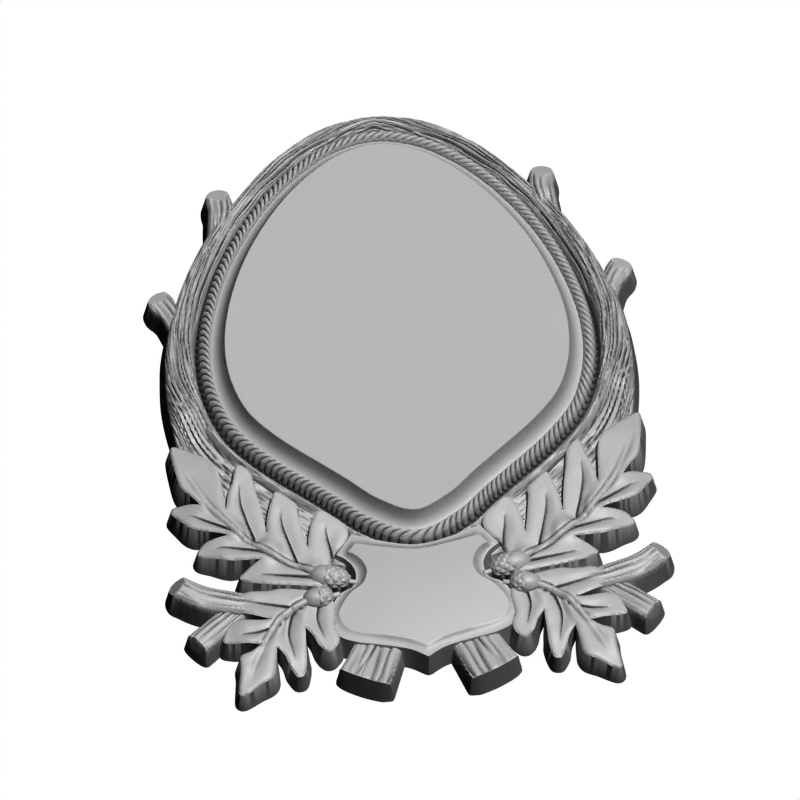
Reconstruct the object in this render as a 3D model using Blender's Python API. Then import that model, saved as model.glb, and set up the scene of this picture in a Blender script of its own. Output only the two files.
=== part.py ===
"""Carved hunting-trophy plaque: one solid board of carved wood with a flat back.

A raised smooth field with a cove round it stands inside a twisted rope and a ring of bark-covered
branch. Two sprays of oak leaves with acorns and sawn branch ends flank a shield at the foot.
The board hangs upright: X is to the right, Z is up, and the carving faces -Y. Its back lies in the
plane Y = 0, on the wall. Plan points are (x, up) in millimetres from the origin, which is the
middle of the back behind the field, and `out` is the height above the back.
"""

import math

import bmesh
import bpy
import numpy as np

MM = 0.001

# Driving dimensions in millimetres
FIELD_OUT = 34.6          # height of the smooth field above the back
COVE_WIDTH = 9.75
COVE_DROP = 10.8
COVE_SLOPES = (76.0, 13.0)   # degrees from level, at the field and at the rope
COVE_SHARES = (0.0, 0.24, 0.58, 1.0)   # where the cove's rows lie across its width
ROPE_WIDTH = 8.6
ROPE_OUT = 26.2
ROPE_TWIST_DEPTH = 1.0    # how far each strand stands above the groove beside it
GROOVE_OUT = 16.5         # bottom of the groove between rope and branch ring
GROOVE_WIDTH = 0.8
RING_RIM_OUT = 15.5
RING_CROWN_OUT = 27.0
RING_LOW_CROWN_OUT = 16.5  # the ring sinks to this under the leaves
RING_SINKS = (-92.0, -114.0)
RING_SINK_LEAD = 12.0     # the sinking starts this far inside the ring's outer edge
RING_SHARES = (0.0, 0.14, 0.31, 0.5, 0.69, 0.86, 1.0)   # where the rows lie across the ring
RING_ROUNDNESS = 0.62     # power of the sine that gives the ring's half-round section
BARK_DEPTH = 1.3
BARK_SWAY = (0.4, 0.9, 2.1)   # share of the depth, turn for each station, turn for each row
ROPE_SKEW = 3             # a strand's outer end lies this many rope steps ahead of its inner end
ROPE_ROWS = ((0.06, 0.8, 0.35), (0.5, 1.0, 1.0), (1.0, 0.75, 0.35))   # (place, height, twist) as shares
DRAFT = 0.176             # the walls spread towards the back by this much per millimetre
BELOW_BACK = 3.0          # the shapes run this far past the back, which is then cut flat

SOLVER = "MANIFOLD"       # keeps the joined shapes closed where many of them meet
STATIONS = 58             # steps round the field and the ring
ROPE_STEPS = 6            # rope steps to each station, two of them to a strand

# Half outlines from the top centre round the right-hand side to the bottom centre
FIELD_EDGE = [(0, 141), (25.6, 135), (47.7, 121.1), (66, 104.2), (80.7, 86.2), (92.8, 67.9),
              (102.7, 49.3), (110.5, 30.2), (116.4, 10.5), (120.1, -10), (120.5, -31.2),
              (116.8, -52.5), (108.4, -72.6), (94.7, -89.5), (79.1, -104.2), (62.4, -118.1),
              (44.8, -133), (24.8, -150.6), (0, -161.9)]
RING_EDGE = [(0, 173), (20, 170.5), (40, 164), (60, 152.5), (80, 136), (100, 114), (116, 95),
             (128, 78), (142, 52), (153, 25), (160.5, 1), (163.8, -20), (165, -50),
             (160.4, -84), (149, -118), (125, -150), (95, -172), (60, -190), (0, -200)]

# Shield: the rim and the panel edge inside it, point for point, down the right-hand side
SHIELD_RIM_OUT = 21.5
SHIELD_PANEL_OUT = 26.6
SHIELD_CROWN_OUT = 27.6
SHIELD_BORDER = ((0.0, 0.0), (0.4, 0.12), (0.75, 0.45), (1.0, 1.0))   # (place, rise) as shares
SHIELD_DOME_SHARE = 0.6
SHIELD_BELOW_BACK = 3.6
SHIELD_EDGE = [(0, -182.5), (22, -178.5), (45, -170.4), (57.2, -186.4), (51, -190.8),
               (46.6, -196.6), (44.9, -204), (48, -213), (58, -219), (66.5, -235), (62, -251),
               (50, -258), (30, -262.5), (12, -267.5), (0, -274.5)]
PANEL_EDGE = [(0, -189.5), (22, -186), (43.6, -180.4), (49, -187), (44.6, -189.6),
              (39.8, -195.4), (37.3, -204), (41, -213.5), (51, -221), (59.5, -235), (56, -246),
              (48, -251), (30, -255.5), (12, -260.5), (0, -266)]
SHIELD_CORNERS = (2, 3, 14)

# Leaves: each lobe has its vein from the midrib to the tip and a margin on each side of the vein
UPPER_MIDRIB = [(68, -204), (80, -196), (100, -184), (120, -167), (135, -149), (145, -133),
                (155, -111), (163, -89)]
LOWER_MIDRIB = [(68, -221), (85, -225), (100, -235), (110, -248), (120, -266), (127, -281),
                (132, -291)]
LOBES = {
    "upper_tip": {
        "out": (22.5, 19.5), "vein": [(138, -146), (150, -122), (157, -106), (165, -86)],
        "first": [(143, -146), (147.5, -136), (155, -128.5), (161, -121), (163.7, -107), (165.5, -90)],
        "second": [(130, -147), (132, -128), (133.2, -113), (138, -102.5), (147, -94.5), (158, -87.5)]},
    "upper_outer_1": {
        "out": (23.0, 19.3), "vein": [(126, -161), (134, -157), (150, -148), (169, -138)],
        "first": [(130, -150), (141.5, -143), (149, -138), (158, -134.5), (166.5, -135)],
        "second": [(124, -167), (135, -162.5), (147, -159), (157, -155), (164, -147), (168.5, -141)]},
    "upper_outer_2": {
        "out": (23.0, 19.3), "vein": [(106, -180), (120, -176.5), (137, -173), (153, -175.5)],
        "first": [(110, -171), (122, -168), (131, -164.5), (140, -165), (148, -167), (153, -172)],
        "second": [(98, -186), (111, -186), (122, -185), (133, -184), (144, -180), (151.5, -177.5)]},
    "upper_outer_3": {
        "out": (23.0, 22.5), "vein": [(76, -204), (95, -200.5), (112, -198), (125, -198)],
        "first": [(85, -194), (98, -187.5), (112, -186.5), (119, -191), (124.5, -195.5)],
        "second": [(70, -212.5), (90, -209.5), (105, -207), (116, -203.8), (123.5, -200.5)]},
    "upper_inner_1": {
        "out": (20.5, 21.5), "vein": [(113, -168), (118, -150), (120.5, -135), (119, -109)],
        "first": [(127, -160), (130.5, -143), (128.2, -130), (124.5, -120.5), (121.7, -110)],
        "second": [(106, -172), (104.3, -160), (106, -146), (109, -129), (111, -115.5), (116, -109)]},
    "upper_inner_2": {
        "out": (20.5, 22.0), "vein": [(85, -189), (90, -171), (93, -157), (93.5, -134)],
        "first": [(99, -184), (103.8, -163), (102, -149), (99.5, -141), (96.5, -133)],
        "second": [(76, -193), (76.8, -178), (79.2, -163), (81, -150), (81, -144), (88, -136.5)]},
    "upper_inner_3": {
        "out": (20.5, 22.3), "vein": [(60, -194), (60.5, -182), (62.5, -170), (64, -152)],
        "first": [(73, -194), (76, -177), (73.5, -162), (71, -156), (68.5, -151)],
        "second": [(50, -190), (46.5, -173), (49, -161.5), (57, -155), (62.5, -150.5)]},
    "lower_tip": {
        "out": (21.0, 18.5), "vein": [(106, -242), (115, -256), (124, -277), (133, -292.5)],
        "first": [(112, -243), (116.5, -254.5), (123, -259.5), (131, -263), (132, -273), (134.5, -288)],
        "second": [(100, -248), (104.5, -258), (106.3, -268), (109, -280.5), (119, -286.5), (130, -293)]},
    "lower_outer_1": {
        "out": (22.0, 21.0), "vein": [(102, -240), (113, -244), (125, -245.5), (139.5, -246)],
        "first": [(103, -232), (112, -235.5), (121, -234.3), (130, -233), (137.5, -236), (140, -243)],
        "second": [(105, -249), (115.5, -254.5), (124, -253.3), (133, -251.8), (141, -250)]},
    "lower_outer_2": {
        "out": (22.0, 21.5), "vein": [(86, -228), (100, -225), (120, -220), (136, -220.5)],
        "first": [(80, -214), (97, -211), (108, -212), (121, -211), (131, -214), (136.3, -218.5)],
        "second": [(88, -235), (101, -238), (112, -233.5), (123, -229), (134, -224)]},
    "lower_inner_1": {
        "out": (20.5, 17.4), "vein": [(92, -231), (96, -247), (94, -262), (91, -279.5)],
        "first": [(106, -243), (105, -256), (100, -264.5), (97, -273), (93.5, -280)],
        "second": [(81, -232), (83.5, -243), (84.5, -258), (85, -270), (87.5, -279.5)]},
    "lower_inner_2": {
        "out": (21.0, 20.0), "vein": [(73, -226), (75, -238), (71.5, -253), (68.5, -262.5)],
        "first": [(86, -230), (84, -243), (79, -251), (76, -258), (71, -264)],
        "second": [(62, -228), (64.5, -243), (61, -251), (61.5, -257.5), (65.5, -263)]},
}
LOBE_RUNGS = 6
LOBE_SWELL = 2.4          # the flanks of a lobe rise this far above its margin
VEIN_SWELL = 1.3

# Rounded limbs along a path: (x, up, half width, out at the rim, out at the crown)
BRANCHES = {
    "long_branch": [(118, -221, 9.5, 14, 22), (150, -213, 10, 15, 23.5), (169, -203, 9.6, 16, 24.5)],
    "short_branch": [(130, -223, 9, 12, 19), (147, -237, 9.6, 12, 20), (159.5, -247.5, 9.8, 12.5, 20.5)],
    "foot_log": [(30, -253, 16.5, 12, 19), (38, -270, 18, 12, 20), (45.5, -286, 19.5, 12.5, 20.5)],
}
BRANCH_END_LEAN = {"long_branch": 7.0, "short_branch": 3.5, "foot_log": 3.0}
BRANCH_BARK = 0.5
TWIGS = {
    "upper_twig": [(116, 84, 9.5, 13, 24), (114, 97, 9.4, 14, 24), (113, 111, 9.5, 14.5, 23.5),
                   (115.5, 126, 9.2, 7, 8.5)],
    "lower_twig": [(148, 0, 8.5, 13, 24), (151.5, 12, 8, 14, 23.5), (155.8, 23.6, 8.2, 14, 23),
                   (161.4, 33.4, 9.8, 14.5, 22.5), (167, 42.5, 9, 7, 8)],
}
MIDRIB_HALF_WIDTH = (3.2, 1.0)      # at the base and at the tip
MIDRIB_RISE = 2.0
MIDRIBS = {"lower": (LOWER_MIDRIB, 22.5, 19.5), "upper": (UPPER_MIDRIB, 24.5, 21.5)}
ACORNS = {
    "large_acorn": {"nut": [(62, -206.8, 8.2), (69, -204.8, 8.0), (75, -203, 6.0), (80, -201.3, 2.2)],
                    "cup": [(47.5, -209.5, 2.4), (51, -209, 6.2), (56, -208.3, 9.0), (64, -206.3, 9.6)]},
    "small_acorn": {"nut": [(73, -224, 7.4), (78, -226, 7.1), (83, -228, 5.0), (86.5, -229.4, 2.0)],
                    "cup": [(60, -219.5, 2.2), (64, -220.8, 5.5), (68, -222, 8.2), (75, -224.8, 8.6)]},
}
ACORN_RIM_OUT = 22.0
NUT_ROUNDNESS = 0.95
CUP_EXTRA_DEPTH = 0.2

# Each shape runs a little deeper than the one before, so that no two feet lie in one plane
FIRST_DEPTH = 4.0
DEPTH_STEP = 0.3
SLAB_SIZE = (0.5, 0.020, 0.7)
SLAB_MIDDLE = (0, 0.010, -0.050)


def curve_through(points, per_span, closed=False, corners=()):
    """Smooth line through the points (Catmull-Rom), with a bend kept sharp at each corner index."""
    points = np.asarray(points, float)
    count = len(points)
    spans = count if closed else count - 1
    line = []
    for i in range(spans):
        a, b = points[i], points[(i + 1) % count]
        before = points[(i - 1) % count] if closed or i > 0 else a
        after = points[(i + 2) % count] if closed or i + 2 < count else b
        lead = b - a if i in corners else (b - before) / 2
        tail = b - a if (i + 1) % count in corners else (after - a) / 2
        for t in np.arange(per_span) / per_span:
            line.append((2*t**3 - 3*t**2 + 1) * a + (t**3 - 2*t**2 + t) * lead
                        + (3*t**2 - 2*t**3) * b + (t**3 - t**2) * tail)
    if not closed:
        line.append(points[-1])
    return np.array(line)


def closed_outline(half):
    """Whole outline, clockwise from the top centre, from its right-hand half."""
    half = np.asarray(half, float)
    return np.vstack([half, (half[1:-1] * (-1, 1))[::-1]])


def even_steps(line, count, shift=0.0):
    """Points at equal distances along a closed line; shift moves them all by that many steps."""
    ring = np.vstack([line, line[:1]])
    lengths = np.concatenate([[0], np.cumsum(np.linalg.norm(np.diff(ring, axis=0), axis=1))])
    at = ((np.arange(count) + shift) / count % 1.0) * lengths[-1]
    return np.column_stack([np.interp(at, lengths, ring[:, k]) for k in range(ring.shape[1])])


def even_run(line, count):
    """Points at equal distances along an open line, its two ends among them."""
    lengths = np.concatenate([[0], np.cumsum(np.linalg.norm(np.diff(line, axis=0), axis=1))])
    at = np.linspace(0, lengths[-1], count)
    return np.column_stack([np.interp(at, lengths, line[:, k]) for k in range(line.shape[1])])


def outward_normals(outline):
    """Unit normals of a clockwise closed outline, pointing away from its middle."""
    along = np.roll(outline, -1, axis=0) - np.roll(outline, 1, axis=0)
    normals = np.column_stack([-along[:, 1], along[:, 0]])
    return normals / np.linalg.norm(normals, axis=1, keepdims=True)


class Shell:
    """A closed shape put together from rows of points, in millimetres."""

    def __init__(self):
        self.mesh = bmesh.new()

    def row(self, plan, out):
        """Add one row of points; out is one height or one for each point."""
        heights = np.broadcast_to(out, len(plan))
        return [self.mesh.verts.new((x * MM, -z * MM, up * MM)) for (x, up), z in zip(plan, heights)]

    def strip(self, first, second, closed=False):
        """Join two rows of the same count with quads."""
        last = len(first) if closed else len(first) - 1
        for i in range(last):
            j = (i + 1) % len(first)
            self.mesh.faces.new((first[i], first[j], second[j], second[i]))

    def fan_strip(self, few, many, shift=0):
        """Join a closed row to one with more points, several of them to each step."""
        ratio = len(many) // len(few)
        for i, vert in enumerate(few):
            following = few[(i + 1) % len(few)]
            fine = [many[(i * ratio + k + shift) % len(many)] for k in range(ratio + 1)]
            middle = ratio // 2
            for k in range(ratio):
                self.mesh.faces.new((vert if k < middle else following, fine[k + 1], fine[k]))
            self.mesh.faces.new((vert, following, fine[middle]))

    def lay(self, rows):
        """Join closed rows one after another."""
        for first, second in zip(rows, rows[1:]):
            self.strip(first, second, closed=True)

    def cap(self, row):
        """Close a row with one flat face."""
        self.mesh.faces.new(row)

    def make(self, name):
        """Turn the rows into an object whose faces all point out."""
        bmesh.ops.triangulate(self.mesh, faces=self.mesh.faces)
        bmesh.ops.recalc_face_normals(self.mesh, faces=self.mesh.faces)
        data = bpy.data.meshes.new(name)
        self.mesh.to_mesh(data)
        self.mesh.free()
        piece = bpy.data.objects.new(name, data)
        bpy.context.scene.collection.objects.link(piece)
        return piece


def ring_widths(edge, normals, outer):
    """Distance along each normal from the field's edge to the ring's outer edge."""
    widths = []
    for point, normal in zip(edge, normals):
        reach = outer - point
        ahead = reach @ normal
        aside = np.abs(reach[:, 0] * normal[1] - reach[:, 1] * normal[0])
        aside[ahead < 0] = np.inf
        widths.append(ahead[np.argmin(aside)])
    return np.array(widths)


def cove_drop(share):
    """Height lost at a share of the cove's width, where the slope eases evenly across it."""
    steepest, shallowest = (math.radians(slope) for slope in COVE_SLOPES)
    slope = steepest + (shallowest - steepest) * share
    whole = math.log(math.cos(shallowest) / math.cos(steepest))
    return COVE_DROP * math.log(math.cos(slope) / math.cos(steepest)) / whole


def make_board():
    """Field, cove, rope and branch ring: one profile carried round the field's outline."""
    outline = curve_through(closed_outline(FIELD_EDGE), 12, closed=True)
    outer = curve_through(closed_outline(RING_EDGE), 40, closed=True)
    edge = even_steps(outline, STATIONS)
    normals = outward_normals(edge)
    shell = Shell()

    rows = [shell.row(edge + normals * COVE_WIDTH * share, FIELD_OUT - cove_drop(share))
            for share in COVE_SHARES]
    shell.cap(rows[0])
    shell.lay(rows)

    # Rope, from the cove outwards: every second step is a strand, the others the grooves between
    fine = STATIONS * ROPE_STEPS
    strand = np.where(np.arange(fine) % 2 == 0, ROPE_TWIST_DEPTH, -ROPE_TWIST_DEPTH)
    rope = []
    for share, height, twist in ROPE_ROWS:
        plan = even_steps(outline, fine, ROPE_SKEW * share)
        plan = plan + outward_normals(plan) * (COVE_WIDTH + ROPE_WIDTH * share)
        rope.append(shell.row(plan, ROPE_OUT * height + strand * twist))
    shell.fan_strip(rows[-1], rope[0])
    shell.lay(rope)

    # Branch ring: half round, furrowed, lower where the leaves lie on it
    start = COVE_WIDTH + ROPE_WIDTH + GROOVE_WIDTH
    widths = ring_widths(edge, normals, outer) - start
    low, high = RING_SINKS[1], RING_SINKS[0]
    sink = np.clip((edge[:, 1] - widths - RING_SINK_LEAD - low) / (high - low), 0, 1)
    crown = RING_LOW_CROWN_OUT + (RING_CROWN_OUT - RING_LOW_CROWN_OUT) * sink
    sway_share, station_turn, row_turn = BARK_SWAY
    ring = []
    for k, share in enumerate(RING_SHARES):
        base = GROOVE_OUT + (RING_RIM_OUT - GROOVE_OUT) * share
        sway = np.sin(np.arange(STATIONS) * station_turn + row_turn * k)
        bark = BARK_DEPTH * ((-1) ** k + sway_share * sway) if 0 < share < 1 else 0.0
        arch = math.sin(math.pi * share) ** RING_ROUNDNESS if 0 < share < 1 else 0.0
        height = base + np.maximum(crown - base, 0) * arch + bark
        ring.append(shell.row(edge + normals * (start + widths * share)[:, None], height))
    shell.fan_strip(ring[0], rope[-1], shift=-ROPE_SKEW)
    shell.lay(ring)
    spread = start + widths + DRAFT * (RING_RIM_OUT + BELOW_BACK)
    back = shell.row(edge + normals * spread[:, None], -BELOW_BACK)
    shell.strip(ring[-1], back, closed=True)
    shell.cap(back)
    return shell.make("carved_plaque")


def make_shield():
    """Shield with a hollowed border that falls from the domed panel to the rim."""
    corners = set(SHIELD_CORNERS) | {2 * (len(SHIELD_EDGE) - 1) - i for i in SHIELD_CORNERS}
    rim = curve_through(closed_outline(SHIELD_EDGE), 2, closed=True, corners=corners)
    panel = curve_through(closed_outline(PANEL_EDGE), 2, closed=True, corners=corners)
    inward = panel - rim
    middle = panel.mean(axis=0)
    shell = Shell()
    wall = outward_normals(rim) * DRAFT * (SHIELD_RIM_OUT + BELOW_BACK)
    back = shell.row(rim + wall, -SHIELD_BELOW_BACK)
    shell.cap(back)
    rise = SHIELD_PANEL_OUT - SHIELD_RIM_OUT
    rows = [back] + [shell.row(rim + inward * share, SHIELD_RIM_OUT + rise * height)
                     for share, height in SHIELD_BORDER]
    rows.append(shell.row(middle + (panel - middle) * SHIELD_DOME_SHARE, SHIELD_CROWN_OUT))
    shell.lay(rows)
    shell.cap(rows[-1])
    return shell.make("shield")


def make_limb(name, side, path, per_span=2, arcs=6, end_lean=0.0, depth=BELOW_BACK, bark=0.0):
    """Half-round limb along a path, with spreading walls down to the back."""
    line = curve_through(path, per_span)
    plan, half, rim, crown = line[:, :2] * (side, 1), line[:, 2], line[:, 3], line[:, 4]
    along = np.gradient(plan, axis=0)
    along = along / np.linalg.norm(along, axis=1, keepdims=True)
    across = np.column_stack([-along[:, 1], along[:, 0]])
    lean = np.zeros(len(line))
    lean[-1] = end_lean
    shell = Shell()
    rows = []
    spread = (half + DRAFT * (rim + depth))[:, None]
    rows.append(shell.row(plan + along * lean[:, None] + across * spread, -depth))
    for k in range(arcs + 1):
        angle = math.pi * k / arcs
        ripple = bark * (-1) ** k if 0 < k < arcs else 0.0
        rows.append(shell.row(plan + across * (half * math.cos(angle))[:, None],
                              rim + (crown - rim) * math.sin(angle) + ripple))
    rows.append(shell.row(plan + along * lean[:, None] - across * spread, -depth))
    for first, second in zip(rows, rows[1:] + rows[:1]):
        shell.strip(first, second)
    shell.cap([row[0] for row in rows])
    shell.cap([row[-1] for row in rows])
    return shell.make(name)


def make_lobe(name, side, lobe, depth):
    """One lobe of a leaf: flanks that swell between its margins and a sunk vein."""
    vein, first, second = (even_run(curve_through(lobe[key], 4), LOBE_RUNGS) * (side, 1)
                           for key in ("vein", "first", "second"))
    out = np.linspace(*lobe["out"], LOBE_RUNGS)
    along = np.gradient(vein, axis=0)
    along = along / np.linalg.norm(along, axis=1, keepdims=True)
    tip_lean = np.linspace(0, 1, LOBE_RUNGS)[:, None] ** 3
    fade = np.ones(LOBE_RUNGS)
    fade[-1] = 0.3
    rows = []
    for margin, flip in ((first, False), (second, True)):
        away = margin - vein
        away = away / np.linalg.norm(away, axis=1, keepdims=True) + along * tip_lean
        away = away / np.linalg.norm(away, axis=1, keepdims=True)
        run = [(margin + away * DRAFT * (out + depth)[:, None], np.full(LOBE_RUNGS, -depth)),
               (margin, out),
               (margin + (vein - margin) * 0.45, out + LOBE_SWELL * fade)]
        rows += run[::-1] if flip else run + [(vein, out + VEIN_SWELL * fade)]
    shell = Shell()
    rows = [shell.row(plan, height) for plan, height in rows]
    for one, other in zip(rows, rows[1:] + rows[:1]):
        shell.strip(one, other)
    shell.cap([row[0] for row in rows])
    shell.cap([row[-1] for row in rows])
    return shell.make(name)


def make_midrib(name, side, midrib, base_out, tip_out, depth):
    """Raised rib along the middle of a leaf, narrowing to its tip."""
    share = np.linspace(0, 1, len(midrib))
    half = MIDRIB_HALF_WIDTH[0] + (MIDRIB_HALF_WIDTH[1] - MIDRIB_HALF_WIDTH[0]) * share
    rim = base_out + (tip_out - base_out) * share
    path = [(x, up, w, r, r + MIDRIB_RISE) for (x, up), w, r in zip(midrib, half, rim)]
    return make_limb(name, side, path, per_span=1, arcs=3, depth=depth)


def make_acorn(name, side, nut, cup, depth):
    """Acorn lying on the leaves: a pointed nut in its cup."""
    nut_path = [(x, up, r, ACORN_RIM_OUT, ACORN_RIM_OUT + NUT_ROUNDNESS * r) for x, up, r in nut]
    cup_path = [(x, up, r, ACORN_RIM_OUT, ACORN_RIM_OUT + r) for x, up, r in cup]
    return [make_limb(name + "_nut", side, nut_path, 1, depth=depth),
            make_limb(name + "_cup", side, cup_path, 1, depth=depth + CUP_EXTRA_DEPTH)]


def make_sprays():
    """Everything that is carved twice, on the right (+1) and on the left (-1)."""
    pieces = []
    for side in (1, -1):
        mark = "right" if side > 0 else "left"
        depth = FIRST_DEPTH
        for name, path in BRANCHES.items():
            depth += DEPTH_STEP
            pieces.append(make_limb(f"{mark}_{name}", side, path, end_lean=BRANCH_END_LEAN[name],
                                    depth=depth, bark=BRANCH_BARK))
        for name, path in TWIGS.items():
            depth += DEPTH_STEP
            pieces.append(make_limb(f"{mark}_{name}", side, path, per_span=1, depth=depth))
        for name, lobe in LOBES.items():
            depth += DEPTH_STEP
            pieces.append(make_lobe(f"{mark}_{name}_lobe", side, lobe, depth))
        for name, (midrib, base_out, tip_out) in MIDRIBS.items():
            depth += DEPTH_STEP
            pieces.append(make_midrib(f"{mark}_{name}_rib", side, midrib, base_out, tip_out, depth))
        for name, shape in ACORNS.items():
            depth += 2 * DEPTH_STEP
            pieces += make_acorn(f"{mark}_{name}", side, shape["nut"], shape["cup"], depth)
    return pieces


def make_back_slab():
    """Everything behind the wall plane, which is cut away to leave the back flat."""
    bpy.ops.mesh.primitive_cube_add(size=1.0, location=SLAB_MIDDLE)
    slab = bpy.context.object
    slab.name = "behind_the_back"
    slab.scale = SLAB_SIZE
    return slab


def hide_helper(piece):
    """Keep a shape that is only added or cut out of sight."""
    piece.hide_render = True
    piece.display_type = "WIRE"


def carve(board, pieces, slab):
    """Join the pieces to the board and cut the back flat."""
    for piece in pieces:
        joint = board.modifiers.new(piece.name, "BOOLEAN")
        joint.operation = "UNION"
        joint.solver = SOLVER
        joint.object = piece
        hide_helper(piece)
    cut = board.modifiers.new(slab.name, "BOOLEAN")
    cut.operation = "DIFFERENCE"
    cut.solver = SOLVER
    cut.object = slab
    hide_helper(slab)


def painted_wood():
    """Even satin grey paint over the carved wood."""
    paint = bpy.data.materials.new("stone_grey_paint")
    paint.use_nodes = True
    shader = paint.node_tree.nodes["Principled BSDF"]
    shader.inputs["Base Color"].default_value = (0.46, 0.46, 0.455, 1.0)
    shader.inputs["Roughness"].default_value = 0.55
    shader.inputs["Metallic"].default_value = 0.0
    return paint


def main():
    """Build the plaque."""
    for leftover in list(bpy.data.objects):
        bpy.data.objects.remove(leftover)
    board = make_board()
    board.data.materials.append(painted_wood())
    carve(board, [make_shield()] + make_sprays(), make_back_slab())


main()
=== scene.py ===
"""Carved hunting-trophy plaque, dressed: relief, bark, rope strands, leaf veins and painted wood.

The plaque hangs upright with its flat back in the plane Y = 0, X to the right and Z up. Plan
points are (x, up) in millimetres from the middle of the back, and `out` is the height above it.
Every surface is a function of two parameters: a profile carried round the field, a section carried
along a limb, or a height over a plan outline. The shapes are then joined into one carved solid.
"""
from __future__ import annotations

import logging
import math
from collections.abc import Callable
from dataclasses import dataclass, field
from enum import Enum

import bmesh
import bpy
import numpy as np
from mathutils import Matrix, Vector
from mathutils.geometry import delaunay_2d_cdt


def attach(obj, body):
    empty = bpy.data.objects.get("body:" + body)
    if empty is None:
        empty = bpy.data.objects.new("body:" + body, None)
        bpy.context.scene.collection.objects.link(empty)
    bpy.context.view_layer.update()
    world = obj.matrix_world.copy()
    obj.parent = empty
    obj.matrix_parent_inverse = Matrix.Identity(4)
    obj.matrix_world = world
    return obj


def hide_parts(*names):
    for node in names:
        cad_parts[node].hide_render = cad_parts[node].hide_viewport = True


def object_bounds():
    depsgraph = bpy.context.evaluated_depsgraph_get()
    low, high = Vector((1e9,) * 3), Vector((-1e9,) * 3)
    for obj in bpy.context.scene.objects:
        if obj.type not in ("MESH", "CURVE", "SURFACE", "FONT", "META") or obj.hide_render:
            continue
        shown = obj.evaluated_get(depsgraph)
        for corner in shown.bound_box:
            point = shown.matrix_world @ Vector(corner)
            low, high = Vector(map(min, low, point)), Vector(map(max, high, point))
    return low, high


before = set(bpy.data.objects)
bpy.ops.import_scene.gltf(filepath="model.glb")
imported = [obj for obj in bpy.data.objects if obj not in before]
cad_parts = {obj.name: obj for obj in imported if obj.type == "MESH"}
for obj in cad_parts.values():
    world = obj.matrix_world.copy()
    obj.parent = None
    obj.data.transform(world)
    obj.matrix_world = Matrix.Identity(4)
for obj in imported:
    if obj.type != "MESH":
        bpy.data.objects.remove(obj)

LOG = logging.getLogger("plaque")
MM = 0.001
CAD_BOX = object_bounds()
Points = list[tuple[float, ...]]


class LeafSide(Enum):
    """Which side of a vein stands higher, seen along the vein towards its tip."""

    LEFT = 1.0
    RIGHT = -1.0


def smooth_line(points: Points | np.ndarray, per_span: int, closed: bool = False,
                corners: tuple[int, ...] = ()) -> np.ndarray:
    """Line through the points by cubic Hermite spans, whose tangents join each point's neighbours.

    Args:
        points: control points, one a row, of any number of columns.
        per_span: steps between two control points.
        closed: whether the last point joins the first.
        corners: control points where the tangents on both sides run straight at the next point.

    Returns:
        Points along the line, one a row.
    """
    points = np.asarray(points, float)
    count = len(points)
    spans = np.arange(count if closed else count - 1)
    here, there = points[spans], points[(spans + 1) % count]
    before = points[(spans - 1) % count] if closed else points[np.maximum(spans - 1, 0)]
    after = points[(spans + 2) % count] if closed else points[np.minimum(spans + 2, count - 1)]
    lead = np.where(np.isin(spans, corners)[:, None], there - here, (there - before) / 2)
    tail = np.where(np.isin((spans + 1) % count, corners)[:, None], there - here, (after - here) / 2)
    t = (np.arange(per_span) / per_span)[None, :, None]
    line = ((2*t**3 - 3*t**2 + 1) * here[:, None] + (t**3 - 2*t**2 + t) * lead[:, None]
            + (3*t**2 - 2*t**3) * there[:, None] + (t**3 - t**2) * tail[:, None])
    line = line.reshape(-1, points.shape[1])
    return line if closed else np.vstack([line, points[-1:]])


def line_lengths(line: np.ndarray) -> np.ndarray:
    """Distance along the line at each of its points, from its first one."""
    return np.concatenate([[0.0], np.cumsum(np.linalg.norm(np.diff(line[:, :2], axis=0), axis=1))])


def points_at(line: np.ndarray, distances: np.ndarray) -> np.ndarray:
    """Points of an open line at the given distances along it."""
    lengths = line_lengths(line)
    return np.column_stack([np.interp(distances, lengths, line[:, k]) for k in range(line.shape[1])])


def closed_line(outline: np.ndarray) -> np.ndarray:
    """The outline with its first point again at the end."""
    return np.vstack([outline, outline[:1]])


def line_sides(line: np.ndarray) -> tuple[np.ndarray, np.ndarray]:
    """Unit vectors along a plan line at each of its points, and square to it on its left."""
    along = np.gradient(line[:, :2], axis=0)
    along = along / np.linalg.norm(along, axis=1, keepdims=True)
    return along, np.column_stack([-along[:, 1], along[:, 0]])


def even_ring(line: np.ndarray, count: int, shift: float = 0.0) -> np.ndarray:
    """Points at equal distances round a closed line, all moved on by shift steps."""
    ring = closed_line(line)
    total = line_lengths(ring)[-1]
    return points_at(ring, (np.arange(count) + shift) / count % 1.0 * total)


def whole_outline(half: Points) -> np.ndarray:
    """Outline clockwise from the top centre, from the half with positive x."""
    half = np.asarray(half, float)
    return np.vstack([half, (half[1:-1] * (-1, 1))[::-1]])


def outward(outline: np.ndarray) -> np.ndarray:
    """Unit normals of a clockwise closed outline, each square to the line through its neighbours."""
    along = np.roll(outline, -1, axis=0) - np.roll(outline, 1, axis=0)
    normals = np.column_stack([-along[:, 1], along[:, 0]])
    return normals / np.maximum(np.linalg.norm(normals, axis=1, keepdims=True), 1e-9)


def clockwise(outline: np.ndarray) -> np.ndarray:
    """The same closed outline, turned round if its signed area is positive."""
    x, y = outline[:, 0], outline[:, 1]
    area = np.sum(x * np.roll(y, -1) - np.roll(x, -1) * y)
    return outline[::-1] if area > 0 else outline


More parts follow.
